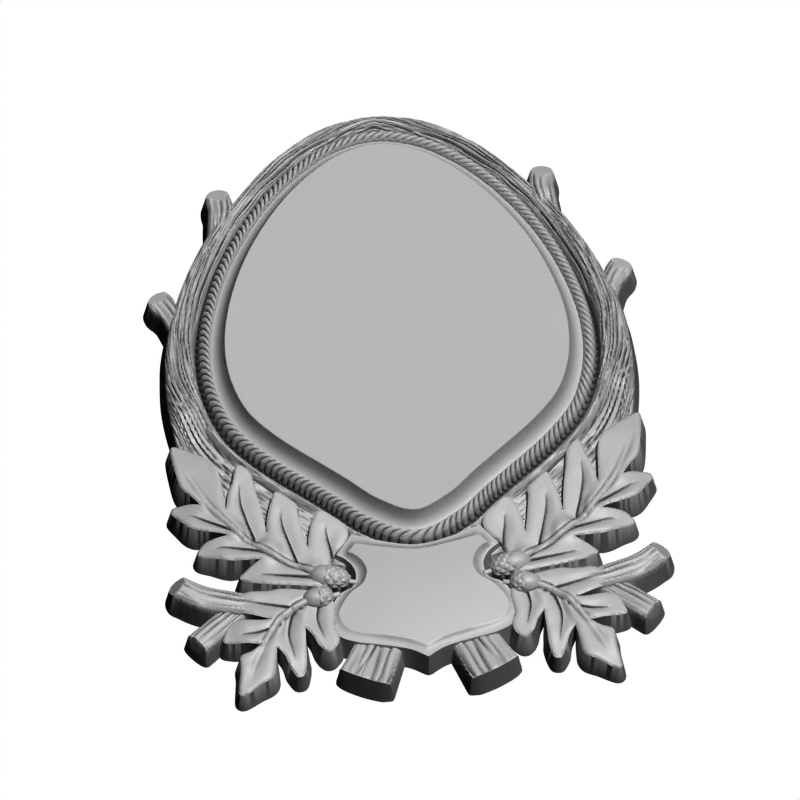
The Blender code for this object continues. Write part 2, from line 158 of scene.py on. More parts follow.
def nearest_on(points: np.ndarray, line: np.ndarray) -> tuple[np.ndarray, np.ndarray, np.ndarray]:
    """Where each plan point lies beside an open line.

    Each point is dropped square onto every segment, and the nearest foot is kept.

    Args:
        points: plan points, one a row.
        line: the line's points.

    Returns:
        The distance, the side (+1 to the left of the line's run, -1 to the right) and the share of
        the line's length at the foot, each an array with one value a point.
    """
    start, step = line[:-1, :2], np.diff(line[:, :2], axis=0)
    size = np.maximum((step ** 2).sum(1), 1e-12)
    lengths = line_lengths(line)
    results = []
    for batch in np.array_split(points, len(points) * len(line) // 1_500_000 + 1):
        reach = batch[:, None, :] - start[None]
        share = np.clip((reach * step).sum(2) / size, 0, 1)
        gap = reach - share[..., None] * step
        squared = (gap ** 2).sum(2)
        best = squared.argmin(1)
        rows = np.arange(len(batch))
        cross = step[best, 0] * reach[rows, best, 1] - step[best, 1] * reach[rows, best, 0]
        along = lengths[best] + share[rows, best] * np.sqrt(size[best])
        results.append((np.sqrt(squared[rows, best]), np.where(cross >= 0, 1.0, -1.0),
                        along / lengths[-1]))
    return tuple(np.concatenate(part) for part in zip(*results))


def inside(points: np.ndarray, outline: np.ndarray) -> np.ndarray:
    """Which plan points lie in a closed outline: their ray to +x crosses it an odd number of times."""
    a, b = outline[None, :, :2], np.roll(outline, -1, axis=0)[None, :, :2]
    px, py = points[:, 0:1], points[:, 1:2]
    spans = (a[..., 1] > py) != (b[..., 1] > py)
    rise = np.where(spans, b[..., 1] - a[..., 1], 1.0)
    cut = a[..., 0] + (py - a[..., 1]) / rise * (b[..., 0] - a[..., 0])
    return (spans & (px < cut)).sum(1) % 2 == 1


def ease(x: np.ndarray) -> np.ndarray:
    """Smooth step from 0 to 1 with level ends: 3x^2 - 2x^3, x held between 0 and 1."""
    x = np.clip(x, 0, 1)
    return x * x * (3 - 2 * x)


def noise(u: np.ndarray, v: np.ndarray, seed: int) -> np.ndarray:
    """Gradient noise in two dimensions, from about -1 to 1.

    Each lattice corner has a unit slope whose angle comes from a sine hash of its place and the
    seed, and the four slopes round a point are blended with smooth steps.
    """
    iu, iv = np.floor(u), np.floor(v)
    fu, fv = u - iu, v - iv
    total = np.zeros(np.broadcast(u, v).shape)
    for du in (0, 1):
        for dv in (0, 1):
            angle = np.sin((iu + du) * 127.1 + (iv + dv) * 311.7 + seed * 74.7) * 43758.5453
            angle = (angle - np.floor(angle)) * 2 * math.pi
            slope = np.cos(angle) * (fu - du) + np.sin(angle) * (fv - dv)
            weight_u = ease(fu) if du else 1 - ease(fu)
            weight_v = ease(fv) if dv else 1 - ease(fv)
            total = total + slope * weight_u * weight_v
    return total * 1.6


@dataclass(frozen=True)
class Bark:
    """Furrowed bark, as heights in millimetres over (along, across) the wood."""

    furrow_pitch: float = 3.2
    furrow_length: float = 100.0
    depth: float = 1.6
    swell: float = 0.32
    fibre: float = 0.1
    groove: float = 0.13
    fine_share: float = 0.5
    level: float = 0.35
    sway_size: tuple[float, float] = (27.0, 9.0)
    fibre_size: tuple[float, float] = (9.0, 1.1)
    swell_length: float = 36.0
    seed: int = 3

    def height(self, along: np.ndarray, across: np.ndarray) -> np.ndarray:
        """Height above the bare wood.

        Furrows run where a noise stretched along the wood passes through nought, so they fork and
        join. Two sizes of furrow, soft ridges between them and a fine fibre are added up.
        """
        pitch, length = self.furrow_pitch, self.furrow_length
        across = across + noise(along / self.sway_size[0], across / self.sway_size[1], self.seed + 11)
        wide = noise(along / length, across / pitch, self.seed)
        fine = noise(along / length * 2, across / pitch * 1.8, self.seed + 5)
        fibre = noise(along / self.fibre_size[0], across / self.fibre_size[1], self.seed + 8)
        broad = noise(along / self.swell_length, across / pitch / 1.3, self.seed + 2)
        furrows = np.exp(-(wide / self.groove) ** 2)
        furrows = furrows + self.fine_share * np.exp(-(fine / self.groove / 1.2) ** 2)
        return self.swell * broad + self.fibre * fibre - self.depth * (furrows - self.level)


@dataclass(frozen=True)
class Stock:
    """What every carved shape shares: the draft of its walls and how far it runs past the back."""

    draft: float = 0.176
    below_back: float = 3.0

    def spread(self, out: np.ndarray | float, depth: float) -> np.ndarray:
        """How far a wall has moved outwards when it reaches the given depth."""
        return self.draft * (np.asarray(out) + depth)


STOCK = Stock()
TRIANGLE_HEIGHT = 0.866   # of a triangle with equal sides, as a share of a side
RIM_CLEARANCE = 0.6       # least distance from grid points to the outline, as a share of the spacing
CREASE_CLEARANCE = 0.42   # the same from grid points to a crease
CREASE_STEP = 0.8         # distance between two points of a crease
CREASE_END = 0.35         # least distance from a crease's points to the outline


def add_object(name: str, data: bpy.types.ID) -> bpy.types.Object:
    """A new object at the origin, linked to the scene."""
    made = bpy.data.objects.new(name, data)
    bpy.context.scene.collection.objects.link(made)
    return made


def mesh_points(mesh: bpy.types.Mesh, what: str = "co") -> np.ndarray:
    """Places ("co") or normals ("normal") of the mesh's points, one a row."""
    values = np.empty(len(mesh.vertices) * 3)
    mesh.vertices.foreach_get(what, values)
    return values.reshape(-1, 3)


def mesh_edges(mesh: bpy.types.Mesh) -> tuple[np.ndarray, np.ndarray]:
    """Point indices at both ends of each edge."""
    ends = np.empty(len(mesh.edges) * 2, int)
    mesh.edges.foreach_get("vertices", ends)
    a, b = ends.reshape(-1, 2).T
    return a, b


class Mould:
    """Collects rows of points and faces, in plan millimetres, and makes a closed mesh of them."""

    def __init__(self) -> None:
        """Start with no points."""
        self.points: list[np.ndarray] = []
        self.faces: list[np.ndarray] = []
        self.loops: list[list[int]] = []
        self.count = 0

    def add(self, plan: np.ndarray, out: np.ndarray | float) -> np.ndarray:
        """Add points and return their indices.

        Args:
            plan: (x, up) rows in millimetres.
            out: the height above the back of each point, or of all.

        Returns:
            The indices of the new points.
        """
        heights = np.broadcast_to(np.asarray(out, float), (len(plan),))
        self.points.append(np.column_stack([plan[:, 0], -heights, plan[:, 1]]) * MM)
        self.count += len(plan)
        return np.arange(self.count - len(plan), self.count)

    def strip(self, first: np.ndarray, second: np.ndarray, closed: bool = False) -> None:
        """Join two rows of equal count with quads."""
        if closed:
            first, second = np.append(first, first[0]), np.append(second, second[0])
        self.faces.append(np.column_stack([first[:-1], first[1:], second[1:], second[:-1]]))

    def step_up(self, few: np.ndarray, many: np.ndarray, shift: int = 0) -> None:
        """Join a closed row to one with a whole number of times its points, by fans of triangles."""
        ratio = len(many) // len(few)
        fine = np.roll(many, -shift)
        index = np.arange(len(few))
        after = np.roll(few, -1)
        middle = ratio // 2
        for k in range(ratio):
            hub = few if k < middle else after
            one, other = fine[index * ratio + k], fine[(index * ratio + k + 1) % len(fine)]
            self.faces.append(np.column_stack([hub, other, one, one]))
        centre = fine[index * ratio + middle]
        self.faces.append(np.column_stack([few, after, centre, centre]))

    def cap(self, row: np.ndarray) -> None:
        """Close a row with one face."""
        self.loops.append([int(i) for i in row])

    def triangles(self, corners: np.ndarray) -> None:
        """Add triangles given by three indices each."""
        self.faces.append(np.column_stack([corners, corners[:, 2]]))

    def make(self, name: str) -> bpy.types.Object:
        """Make the mesh object, of triangles that point out."""
        rows = np.vstack(self.faces)
        flat = rows[:, 2] == rows[:, 3]
        polygons = rows[~flat].tolist() + rows[flat][:, :3].tolist() + self.loops
        mesh = bpy.data.meshes.new(name)
        mesh.from_pydata(np.vstack(self.points).tolist(), [], polygons)
        work = bmesh.new()
        work.from_mesh(mesh)
        bmesh.ops.triangulate(work, faces=work.faces)
        bmesh.ops.recalc_face_normals(work, faces=work.faces)
        work.to_mesh(mesh)
        work.free()
        return add_object(name, mesh)


def linked_groups(count: int, a: np.ndarray, b: np.ndarray) -> np.ndarray:
    """Number the groups of things that are linked in pairs.

    Each thing starts with its own index, and linked things take the lower one of their two numbers
    until nothing changes.

    Args:
        count: how many things there are.
        a: index of one end of each link.
        b: index of its other end.

    Returns:
        For each thing, the lowest index in its group.
    """
    label = np.arange(count)
    while True:
        low = label.copy()
        np.minimum.at(low, a, label[b])
        np.minimum.at(low, b, label[a])
        low = low[low]
        if np.array_equal(low, label):
            return label
        label = low


def within(corners: np.ndarray, rim: np.ndarray, seen_inside: np.ndarray) -> np.ndarray:
    """Triangles inside a border.

    Triangles that share an edge which isn't part of the border belong to one group, and the largest
    group that is seen to lie inside is kept.

    Args:
        corners: three indices for each triangle.
        rim: indices of the border's points in order.
        seen_inside: whether each triangle's middle lies inside, as far as can be told.

    Returns:
        The triangles that are kept.
    """
    sides = np.sort(np.concatenate([corners[:, [0, 1]], corners[:, [1, 2]], corners[:, [2, 0]]]), axis=1)
    owner = np.tile(np.arange(len(corners)), 3)
    width = corners.max() + 1
    keys = sides[:, 0] * width + sides[:, 1]
    border = np.sort(np.column_stack([rim, np.roll(rim, -1)]), axis=1)
    free = ~np.isin(keys, border[:, 0] * width + border[:, 1])
    order = np.argsort(keys[free], kind="stable")
    keys, owner = keys[free][order], owner[free][order]
    pair = keys[:-1] == keys[1:]
    label = linked_groups(len(corners), owner[:-1][pair], owner[1:][pair])
    groups = np.bincount(label[seen_inside], minlength=len(corners))
    return corners[label == groups.argmax()]


def relief(name: str, outline: np.ndarray, height: Callable[[np.ndarray, np.ndarray], np.ndarray],
           spacing: float, depth: float, features: list[np.ndarray] | None = None) -> bpy.types.Object:
    """A carved shape: a height over a plan outline, with drafted walls down to the back.

    A staggered grid of points fills the outline, rows of points follow the features, and a
    triangulation joins them. Walls move outwards as they go down, but never by more than 0.4 of
    the way to the outline across a notch.

    Args:
        name: the object's name.
        outline: closed plan outline.
        height: function of plan points and their distance to the outline, giving `out`.
        spacing: distance between grid points in millimetres.
        depth: how far below the back the walls run.
        features: lines along which the surface has a crease.

    Returns:
        The closed mesh object.
    """
    facing_cosine, notch_share = 0.75, 0.4
    outline = clockwise(outline)
    around = line_lengths(closed_line(outline))[-1]
    ring = even_ring(outline, max(12, int(around / spacing)))
    closed = closed_line(ring)
    low, high = ring.min(0), ring.max(0)
    ups = np.arange(low[1], high[1], spacing * TRIANGLE_HEIGHT)
    x, up = np.meshgrid(np.arange(low[0] - spacing, high[0], spacing), ups)
    x = x + (np.arange(len(ups)) % 2)[:, None] * spacing / 2
    grid = np.column_stack([x.ravel(), up.ravel()])
    grid = grid[inside(grid, ring)]
    grid = grid[nearest_on(grid, closed)[0] > spacing * RIM_CLEARANCE]
    if features:
        creases = np.vstack([points_at(line, np.arange(0, line_lengths(line)[-1], spacing * CREASE_STEP))
                             for line in features])
        creases = creases[inside(creases, ring)]
        creases = creases[nearest_on(creases, closed)[0] > spacing * CREASE_END]
        for line in features:
            grid = grid[nearest_on(grid, line)[0] > spacing * CREASE_CLEARANCE]
        grid = np.vstack([grid, creases])
    plan = np.vstack([ring, grid])
    edges = [(i, (i + 1) % len(ring)) for i in range(len(ring))]
    found, _, faces, origins, _, _ = delaunay_2d_cdt(
        [Vector(point) for point in plan.tolist()], edges, [], 0, 1e-5, True)
    plan = np.array([tuple(point) for point in found])
    corners = np.array(faces)
    place = {source: i for i, sources in enumerate(origins) for source in sources}
    rim = np.array([place[i] for i in range(len(ring))])
    corners = within(corners, rim, inside(plan[corners].mean(axis=1), ring))
    mould = Mould()
    out = height(plan, nearest_on(plan, closed)[0])
    mould.add(plan, out)
    mould.triangles(corners)
    normals = outward(ring)
    gap = ring[None] - ring[:, None]
    far = np.linalg.norm(gap, axis=2) + 1e-9
    facing = (gap * normals[:, None]).sum(2) / far > facing_cosine
    clearance = np.where(facing, far, np.inf).min(1)
    wide = np.minimum(STOCK.spread(out[rim], depth), notch_share * clearance)
    foot = mould.add(ring + normals * wide[:, None], -depth)
    mould.strip(rim, foot, closed=True)
    mould.cap(foot)
    return mould.make(name)


@dataclass
class Board:
    """The raised field, its cove, the twisted rope and the bark-covered ring round it."""

    field_out: float = 34.6
    arris: float = 0.3
    cove_width: float = 9.75
    cove_drop: float = 13.0
    cove_slopes: tuple[float, float] = (76.0, 22.0)
    rope_width: float = 8.6
    rope_crown: float = 26.2
    rope_crown_share: float = 0.36
    rope_inner_out: float = 21.6
    rope_outer_out: float = 17.5
    rope_places: tuple[float, ...] = (0.0, 0.03, 0.09, 0.18, 0.28, 0.4, 0.52, 0.64, 0.76, 0.87, 0.95, 1.0)
    strand_rise: float = 2.3
    lobe_power: float = 0.75
    lobe_level: float = 0.66
    inner_strand: float = 0.12
    outer_bulge: float = 0.5
    strands: int = 174
    steps_a_strand: int = 6
    skew_steps: int = 9
    skew_bend: float = 1.7
    groove_out: float = 13.8
    groove_width: float = 1.9
    ring_rim_out: float = 15.5
    ring_crown_out: float = 26.6
    ring_low_crown_out: float = 16.8
    ring_bank: float = 5.5
    ring_shoulder: float = 8.0
    narrow_crown_drop: float = 5.0
    narrow_rim_rise: float = 3.5
    shelf: float = 0.5
    shelf_span: tuple[float, float] = (4.0, 10.0)
    ring_sinks: tuple[float, float] = (-92.0, -114.0)
    leaf_bed: float = 17.3
    leaf_bed_slope: float = 1.25
    sink_lead: float = 12.0
    narrow_widths: tuple[float, float] = (21.5, 12.5)
    narrow_bank: float = 0.72
    narrow_shoulder: float = 0.28
    bark_fade: float = 6.0
    rim_bark: float = 0.35
    bark_stretch: float = 1.25
    cove_rows: int = 15
    cove_crowding: float = 1.7
    ring_rows: int = 44
    stations: int = 348
    ring_stations: int = 522
    bark: Bark = Bark(seed=4)
    bark_peak: tuple[float, float] = (6.5, 34.0)            # rise, half width
    bark_drift: tuple[float, float, float] = (8.0, 10.0, 100.0)  # inwards, from up, over a length
    bark_seam: tuple[float, float, float] = (0.9, 3.0, 0.7)      # depth, place, width
    field_edge: Points = field(default_factory=lambda: [
        (0, 141), (25.6, 135), (47.7, 121.1), (66, 104.2), (80.7, 86.2), (92.8, 67.9),
        (102.7, 49.3), (110.5, 30.2), (116.4, 10.5), (120.1, -10), (120.5, -31.2),
        (116.8, -52.5), (108.4, -72.6), (94.7, -89.5), (79.1, -104.2), (62.4, -118.1),
        (44.8, -133), (24.8, -150.6), (0, -161.9)])
    ring_edge: Points = field(default_factory=lambda: [
        (0, 173), (20, 170.5), (40, 164), (60, 152.5), (80, 136), (100, 114), (116, 95),
        (128, 78), (142, 52), (153, 25), (160.5, 1), (163.8, -20), (165, -50),
        (160.4, -84), (149, -118), (125, -150), (95, -172), (60, -190), (0, -200)])

    def rope_section(self, share: float, phase: np.ndarray) -> tuple[np.ndarray, np.ndarray]:
        """One row of the rope.

        The section is two quarter ellipses that meet at the crown: a short one up from the cove
        and a long one down to the groove. Over one strand the surface swells as half a sine wave
        whose ends meet in a sharp groove, upwards on the crown and outwards at the outer edge.

        Args:
            share: place across the rope, 0 at the cove and 1 at the groove.
            phase: place within a strand of each point, from 0 to 1.

        Returns:
            The height of each point above the back, and how far it is moved outwards.
        """
        summit = self.rope_crown_share
        if share < summit:
            foot, turn = self.rope_inner_out, 1 - share / summit
        else:
            foot, turn = self.rope_outer_out, (share - summit) / (1 - summit)
        body = foot + (self.rope_crown - foot) * math.sqrt(max(1 - turn ** 2, 0))
        lobe = self.strand_rise * (np.sin(math.pi * phase) ** self.lobe_power - self.lobe_level)
        strength = min(1.0, self.inner_strand + 4 * share)
        return body + lobe * strength, lobe * self.outer_bulge * share ** 2

    def ring_reach(self, edge: np.ndarray, normals: np.ndarray, outer: np.ndarray) -> np.ndarray:
        """Distance along each normal from the field's edge to the ring's outer edge.

        The outer line's points fall on one side or the other of the normal's ray, and the crossing
        is found by proportion where the side changes.
        """
        reach = outer[None] - edge[:, None]
        ahead = (reach * normals[:, None]).sum(2)
        aside = reach[..., 0] * normals[:, None, 1] - reach[..., 1] * normals[:, None, 0]
        ahead_next, aside_next = np.roll(ahead, -1, axis=1), np.roll(aside, -1, axis=1)
        change = aside - aside_next
        share = aside / np.where(np.abs(change) < 1e-12, 1e-12, change)
        crosses = (aside * aside_next <= 0) & (ahead > 0)
        return np.where(crosses, ahead + share * (ahead_next - ahead), np.inf).min(1)

    def bark_height(self, plan: np.ndarray, along: np.ndarray, across: np.ndarray) -> np.ndarray:
        """Bark over the ring: the furrows peak at the top centre and drift inwards down the sides.

        Args:
            plan: plan points of a row.
            along: distance of each from the top centre, the same on both halves.
            across: distance of each from the groove.

        Returns:
            The height that the bark adds at each point.
        """
        peak_rise, peak_half = self.bark_peak
        drift_in, drift_top, drift_length = self.bark_drift
        seam_depth, seam_place, seam_width = self.bark_seam
        peak = peak_rise * np.clip(1 - np.abs(plan[:, 0]) / peak_half, 0, 1)
        drift = drift_in * ease((drift_top - plan[:, 1]) / drift_length)
        band = seam_depth * np.exp(-((across - seam_place) / seam_width) ** 2)
        return self.bark.height(along, across - peak + drift) - band

    def bedded(self, plan: np.ndarray, out: np.ndarray, leaves: list[np.ndarray]) -> np.ndarray:
        """Cut the ring low where leaves lie on it: beside a leaf it rises evenly with the distance.

        Args:
            plan: plan points.
            out: their heights.
            leaves: closed outlines of the leaves.

        Returns:
            The lower of each height and the bed of the nearest leaf.
        """
        for leaf in leaves:
            distance = nearest_on(plan, closed_line(leaf))[0]
            distance = np.where(inside(plan, leaf), 0.0, distance)
            out = np.minimum(out, self.leaf_bed + self.leaf_bed_slope * distance)
        return out

    def cove(self, mould: Mould, outline: np.ndarray) -> np.ndarray:
        """Lay the field and the cove round it, whose slope turns evenly from steep to shallow.

        With the slope running evenly from one angle to another, the drop follows the logarithm of
        its cosine.

        Args:
            mould: where the rows go.
            outline: closed plan outline of the field.

        Returns:
            The cove's last row.
        """
        edge = even_ring(outline, self.stations)
        normals = outward(edge)
        row = mould.add(edge - normals * self.arris, self.field_out)
        mould.cap(row)
        steepest, shallowest = np.radians(self.cove_slopes)
        whole = np.log(np.cos(shallowest) / np.cos(steepest))
        for share in np.linspace(0, 1, self.cove_rows) ** self.cove_crowding:
            slope = steepest + (shallowest - steepest) * share
            fallen = (self.cove_drop - self.arris) * np.log(np.cos(slope) / np.cos(steepest)) / whole
            below = mould.add(edge + normals * self.cove_width * share,
                              self.field_out - (self.arris + fallen))
            mould.strip(row, below, closed=True)
            row = below
        return row

    def rope(self, mould: Mould, outline: np.ndarray, inner: np.ndarray) -> np.ndarray:
        """Lay the rope round the cove.

        A strand lies square to the rope at its outer edge and turns along it towards the cove, so
        it moves on with 1 - (1 - share)^skew_bend across the rope.

        Args:
            mould: where the rows go.
            outline: closed plan outline of the field.
            inner: the cove's last row.

        Returns:
            The rope's last row.
        """
        steps = self.strands * self.steps_a_strand
        phase = np.arange(steps) % self.steps_a_strand / self.steps_a_strand
        rows = []
        for share in self.rope_places:
            plan = even_ring(outline, steps, self.skew_steps * (1 - (1 - share) ** self.skew_bend))
            height, bulge = self.rope_section(share, phase)
            offset = self.cove_width + self.rope_width * share + bulge
            rows.append(mould.add(plan + outward(plan) * offset[:, None], height))
        mould.step_up(inner, rows[0])
        for row, below in zip(rows, rows[1:]):
            mould.strip(row, below, closed=True)
        return rows[-1]

    def ring(self, mould: Mould, outline: np.ndarray, inner: np.ndarray, leaves: list[np.ndarray]) -> None:
        """Lay the groove, the bark-covered ring, its wall and the back.

        Across the ring the height climbs a bank from the groove, holds a crown and drops over a
        round shoulder to the rim. The crown sinks low under the leaves and on a narrow ring.

        Args:
            mould: where the rows go.
            outline: closed plan outline of the field.
            inner: the rope's last row.
            leaves: closed outlines of the leaves that lie on the ring.
        """
        outer = smooth_line(whole_outline(self.ring_edge), 60, closed=True)
        edge = even_ring(outline, self.ring_stations)
        normals = outward(edge)
        turns = (np.arange(self.ring_stations) / self.ring_stations + 0.5) % 1.0 - 0.5
        along = np.abs(turns) * line_lengths(closed_line(edge))[-1] * self.bark_stretch
        start = self.cove_width + self.rope_width + self.groove_width
        widths = self.ring_reach(edge, normals, outer) - start
        high, low = self.ring_sinks
        sink = ease((edge[:, 1] - widths - self.sink_lead - low) / (high - low))
        wide, slim = self.narrow_widths
        narrow = 1 - ease((widths - slim) / (wide - slim))
        full_crown = self.ring_crown_out - self.narrow_crown_drop * narrow
        rim = self.ring_rim_out + self.narrow_rim_rise * narrow
        bank = self.ring_bank + (self.narrow_bank * widths - self.ring_bank) * narrow
        shoulder = np.minimum(self.ring_shoulder, self.narrow_shoulder * widths)
        near, far = self.shelf_span
        row = None
        for share in np.concatenate([[0.0, 0.006], np.linspace(0.025, 1.0, self.ring_rows)]):
            across = widths * share
            base = self.groove_out + (rim - self.groove_out) * share
            climb = 1 - (1 - np.clip(across / bank, 0, 1)) ** 2
            turn = np.clip((across - widths + shoulder) / shoulder, 0, 1)
            arch = climb * np.sqrt(1 - turn ** 2)
            plan = edge + normals * (start + across)[:, None]
            raised = np.maximum(sink, self.shelf * (1 - ease((across - near) / (far - near))))
            crown = self.ring_low_crown_out + (full_crown - self.ring_low_crown_out) * raised
            fade = min(1.0, self.bark_fade * share, self.rim_bark + self.bark_fade * (1 - share))
            bark = self.bark_height(plan, along, across) * fade
            bare = self.bedded(plan, base + np.maximum(crown - base, 0) * arch, leaves)
            below = mould.add(plan, bare + bark)
            if row is None:
                mould.step_up(below, inner, shift=-self.skew_steps)
            else:
                mould.strip(row, below, closed=True)
            row = below
        spread = start + widths + STOCK.spread(rim, STOCK.below_back)
        back = mould.add(edge + normals * spread[:, None], -STOCK.below_back)
        mould.strip(row, back, closed=True)
        mould.cap(back)

    def core(self) -> np.ndarray:
        """Closed plan outline of what is left smooth: the field and the cove, up to the rope."""
        edge = smooth_line(whole_outline(self.field_edge), 12, closed=True)
        return edge + outward(edge) * (self.cove_width + 0.12 * self.rope_width)

    def build(self, leaves: list[np.ndarray]) -> bpy.types.Object:
        """Carry the profile of field, cove, rope, groove, ring and wall round the field's edge."""
        outline = smooth_line(whole_outline(self.field_edge), 24, closed=True)
        mould = Mould()
        last_of_cove = self.cove(mould, outline)
        last_of_rope = self.rope(mould, outline, last_of_cove)
        self.ring(mould, outline, last_of_rope, leaves)
        return mould.make("board")


@dataclass
class Shield:
    """Blank shield at the foot, with a hollowed border that rises to a gently domed panel."""

    rim_out: tuple[float, float] = (21.5, 19.5)
    crown_out: float = 27.0
    crown_up: float = -196.0
    fall: tuple[float, float] = (2.6, 4.6)
    half_size: tuple[float, float] = (60.0, 62.0)
    bend: float = 0.9
    border_rows: tuple[float, ...] = (0.3, 0.55, 0.75, 0.9, 1.0)
    spacing: float = 1.1
    depth: float = STOCK.below_back + 0.6
    corners: tuple[int, ...] = (2, 3, 14)
    edge: Points = field(default_factory=lambda: [
        (0, -182.5), (22, -178.5), (45, -170.4), (57.2, -186.4), (51, -190.8), (46.6, -196.6),
        (44.9, -204), (48, -213), (58, -219), (66.5, -235), (62, -251), (50, -258), (30, -262.5),
        (12, -267.5), (0, -274.5)])
    panel_edge: Points = field(default_factory=lambda: [
        (0, -189.5), (22, -186), (43.6, -180.4), (49, -187), (44.6, -189.6), (39.8, -195.4),
        (37.3, -204), (41, -213.5), (51, -221), (59.5, -235), (56, -246), (48, -251), (30, -255.5),
        (12, -260.5), (0, -266)])

    def dome(self, plan: np.ndarray) -> np.ndarray:
        """Height of the panel: it falls with the squares of the distances across and up."""
        across, up = plan[:, 0] / self.half_size[0], (plan[:, 1] - self.crown_up) / self.half_size[1]
        return self.crown_out - self.fall[0] * across ** 2 - self.fall[1] * up ** 2

    def rim_height(self, plan: np.ndarray) -> np.ndarray:
        """Height of the rim, which falls evenly from the top of the shield to its foot."""
        top, foot = self.edge[0][1], self.edge[-1][1]
        return self.rim_out[0] + (self.rim_out[1] - self.rim_out[0]) * (plan[:, 1] - top) / (foot - top)

    def build(self) -> bpy.types.Object:
        """Raise the border and the panel over the rim's outline.

        Across the border t runs from 0 at the rim to 1 at the panel, by the distances to both, and
        the height follows part of a circle that is level at the rim and steep at the panel.
        """
        per_span = 8
        bent = set(self.corners) | {2 * (len(self.edge) - 1) - i for i in self.corners}
        rim, panel = (smooth_line(whole_outline(half), per_span, closed=True, corners=tuple(bent))
                      for half in (self.edge, self.panel_edge))
        ring = closed_line(panel)
        lines = [closed_line(rim + (panel - rim) * share) for share in self.border_rows]
        lines += [np.linspace(rim[per_span * i], panel[per_span * i], 9) for i in sorted(bent)]

        def height(plan: np.ndarray, edge: np.ndarray) -> np.ndarray:
            """The panel's dome, or the border's hollow outside it."""
            gap = nearest_on(plan, ring)[0]
            on_panel = inside(plan, panel) | (gap < 0.02)
            t = np.where(on_panel, 1.0, edge / (edge + gap + 1e-9))
            curve = (1 - np.sqrt(1 - (self.bend * t) ** 2)) / (1 - math.sqrt(1 - self.bend ** 2))
            low = self.rim_height(plan)
            return low + (self.dome(plan) - low) * curve

        return relief("shield", rim, height, self.spacing, self.depth, lines)


@dataclass
class Limb:
    """A branch, twig or log lying on the board: bark over a rounded section, and a sawn end.

    Each path point is (x, up, half width, out at the rim, out at the crown).
    """

    name: str
    path: Points
    cut_reach: float
    cut_drop: float
    depth: float
    flatness: float = 2.5
    end_round: float = 0.6
    end_corner: int = 9
    run_on: float = 20.0
    bark_margin: float = 1.2
    bark: Bark = Bark()
    spacing: float = 0.95

    def outline(self, line: np.ndarray) -> np.ndarray:
        """Plan outline: both sides of the path and an end that bulges by cut_reach."""
        along, across = line_sides(line)
        left = line[:, :2] + across * line[:, 2:3]
        right = line[:, :2] - across * line[:, 2:3]
        v = np.linspace(1, -1, 17)[1:-1]
        bulge = self.cut_reach * (1 - self.end_round * v ** 2) * (1 - np.abs(v) ** self.end_corner)
        end = line[-1, :2] + across[-1] * (v * line[-1, 2])[:, None] + along[-1] * bulge[:, None]
        return np.vstack([left, end, right[::-1]])

    def build(self) -> bpy.types.Object:
        """Raise the section (1 - |v|^n)^(1/n) over the path, then lower it to the slanting cut."""
        line = smooth_line(self.path, 8)
        tip, towards = line[-1], line[-1, :2] - line[-3, :2]
        towards = towards / np.linalg.norm(towards)
        longer = np.vstack([line, line[-1:] + np.append(towards * self.run_on, (0, 0, 0))])
        lengths = line_lengths(longer)

        def height(plan: np.ndarray, edge: np.ndarray) -> np.ndarray:
            """The log's section with its bark, or the cut where that is lower."""
            distance, side, share = nearest_on(plan, longer)
            at = share * lengths[-1]
            half, rim, crown = (np.interp(at, lengths, longer[:, k]) for k in (2, 3, 4))
            v = np.clip(distance / half, 0, 1)
            section = (1 - v ** self.flatness) ** (1 / self.flatness)
            bark = self.bark.height(at, side * distance) * np.clip(edge / self.bark_margin, 0.25, 1)
            log = rim + (crown - rim) * section + bark
            if not self.cut_drop:
                return log
            beyond = (plan - tip[:2]) @ towards
            return np.minimum(log, tip[4] - self.cut_drop * beyond / self.cut_reach)

        features = []
        if self.cut_drop:
            across = np.array([-towards[1], towards[0]])
            v = np.linspace(-1, 1, 21)
            section = (1 - np.abs(v) ** self.flatness) ** (1 / self.flatness)
            back = (tip[4] - tip[3]) * (1 - section) * self.cut_reach / self.cut_drop
            features = [tip[:2] + across * (v * tip[2])[:, None] + towards * back[:, None]]
        return relief(self.name, self.outline(line), height, self.spacing, self.depth, features)


@dataclass
class Lobe:
    """One lobe of a leaf: its vein from the midrib to the tip, and its margin round the tip."""

    vein: Points
    margin: Points
    out: tuple[float, float]


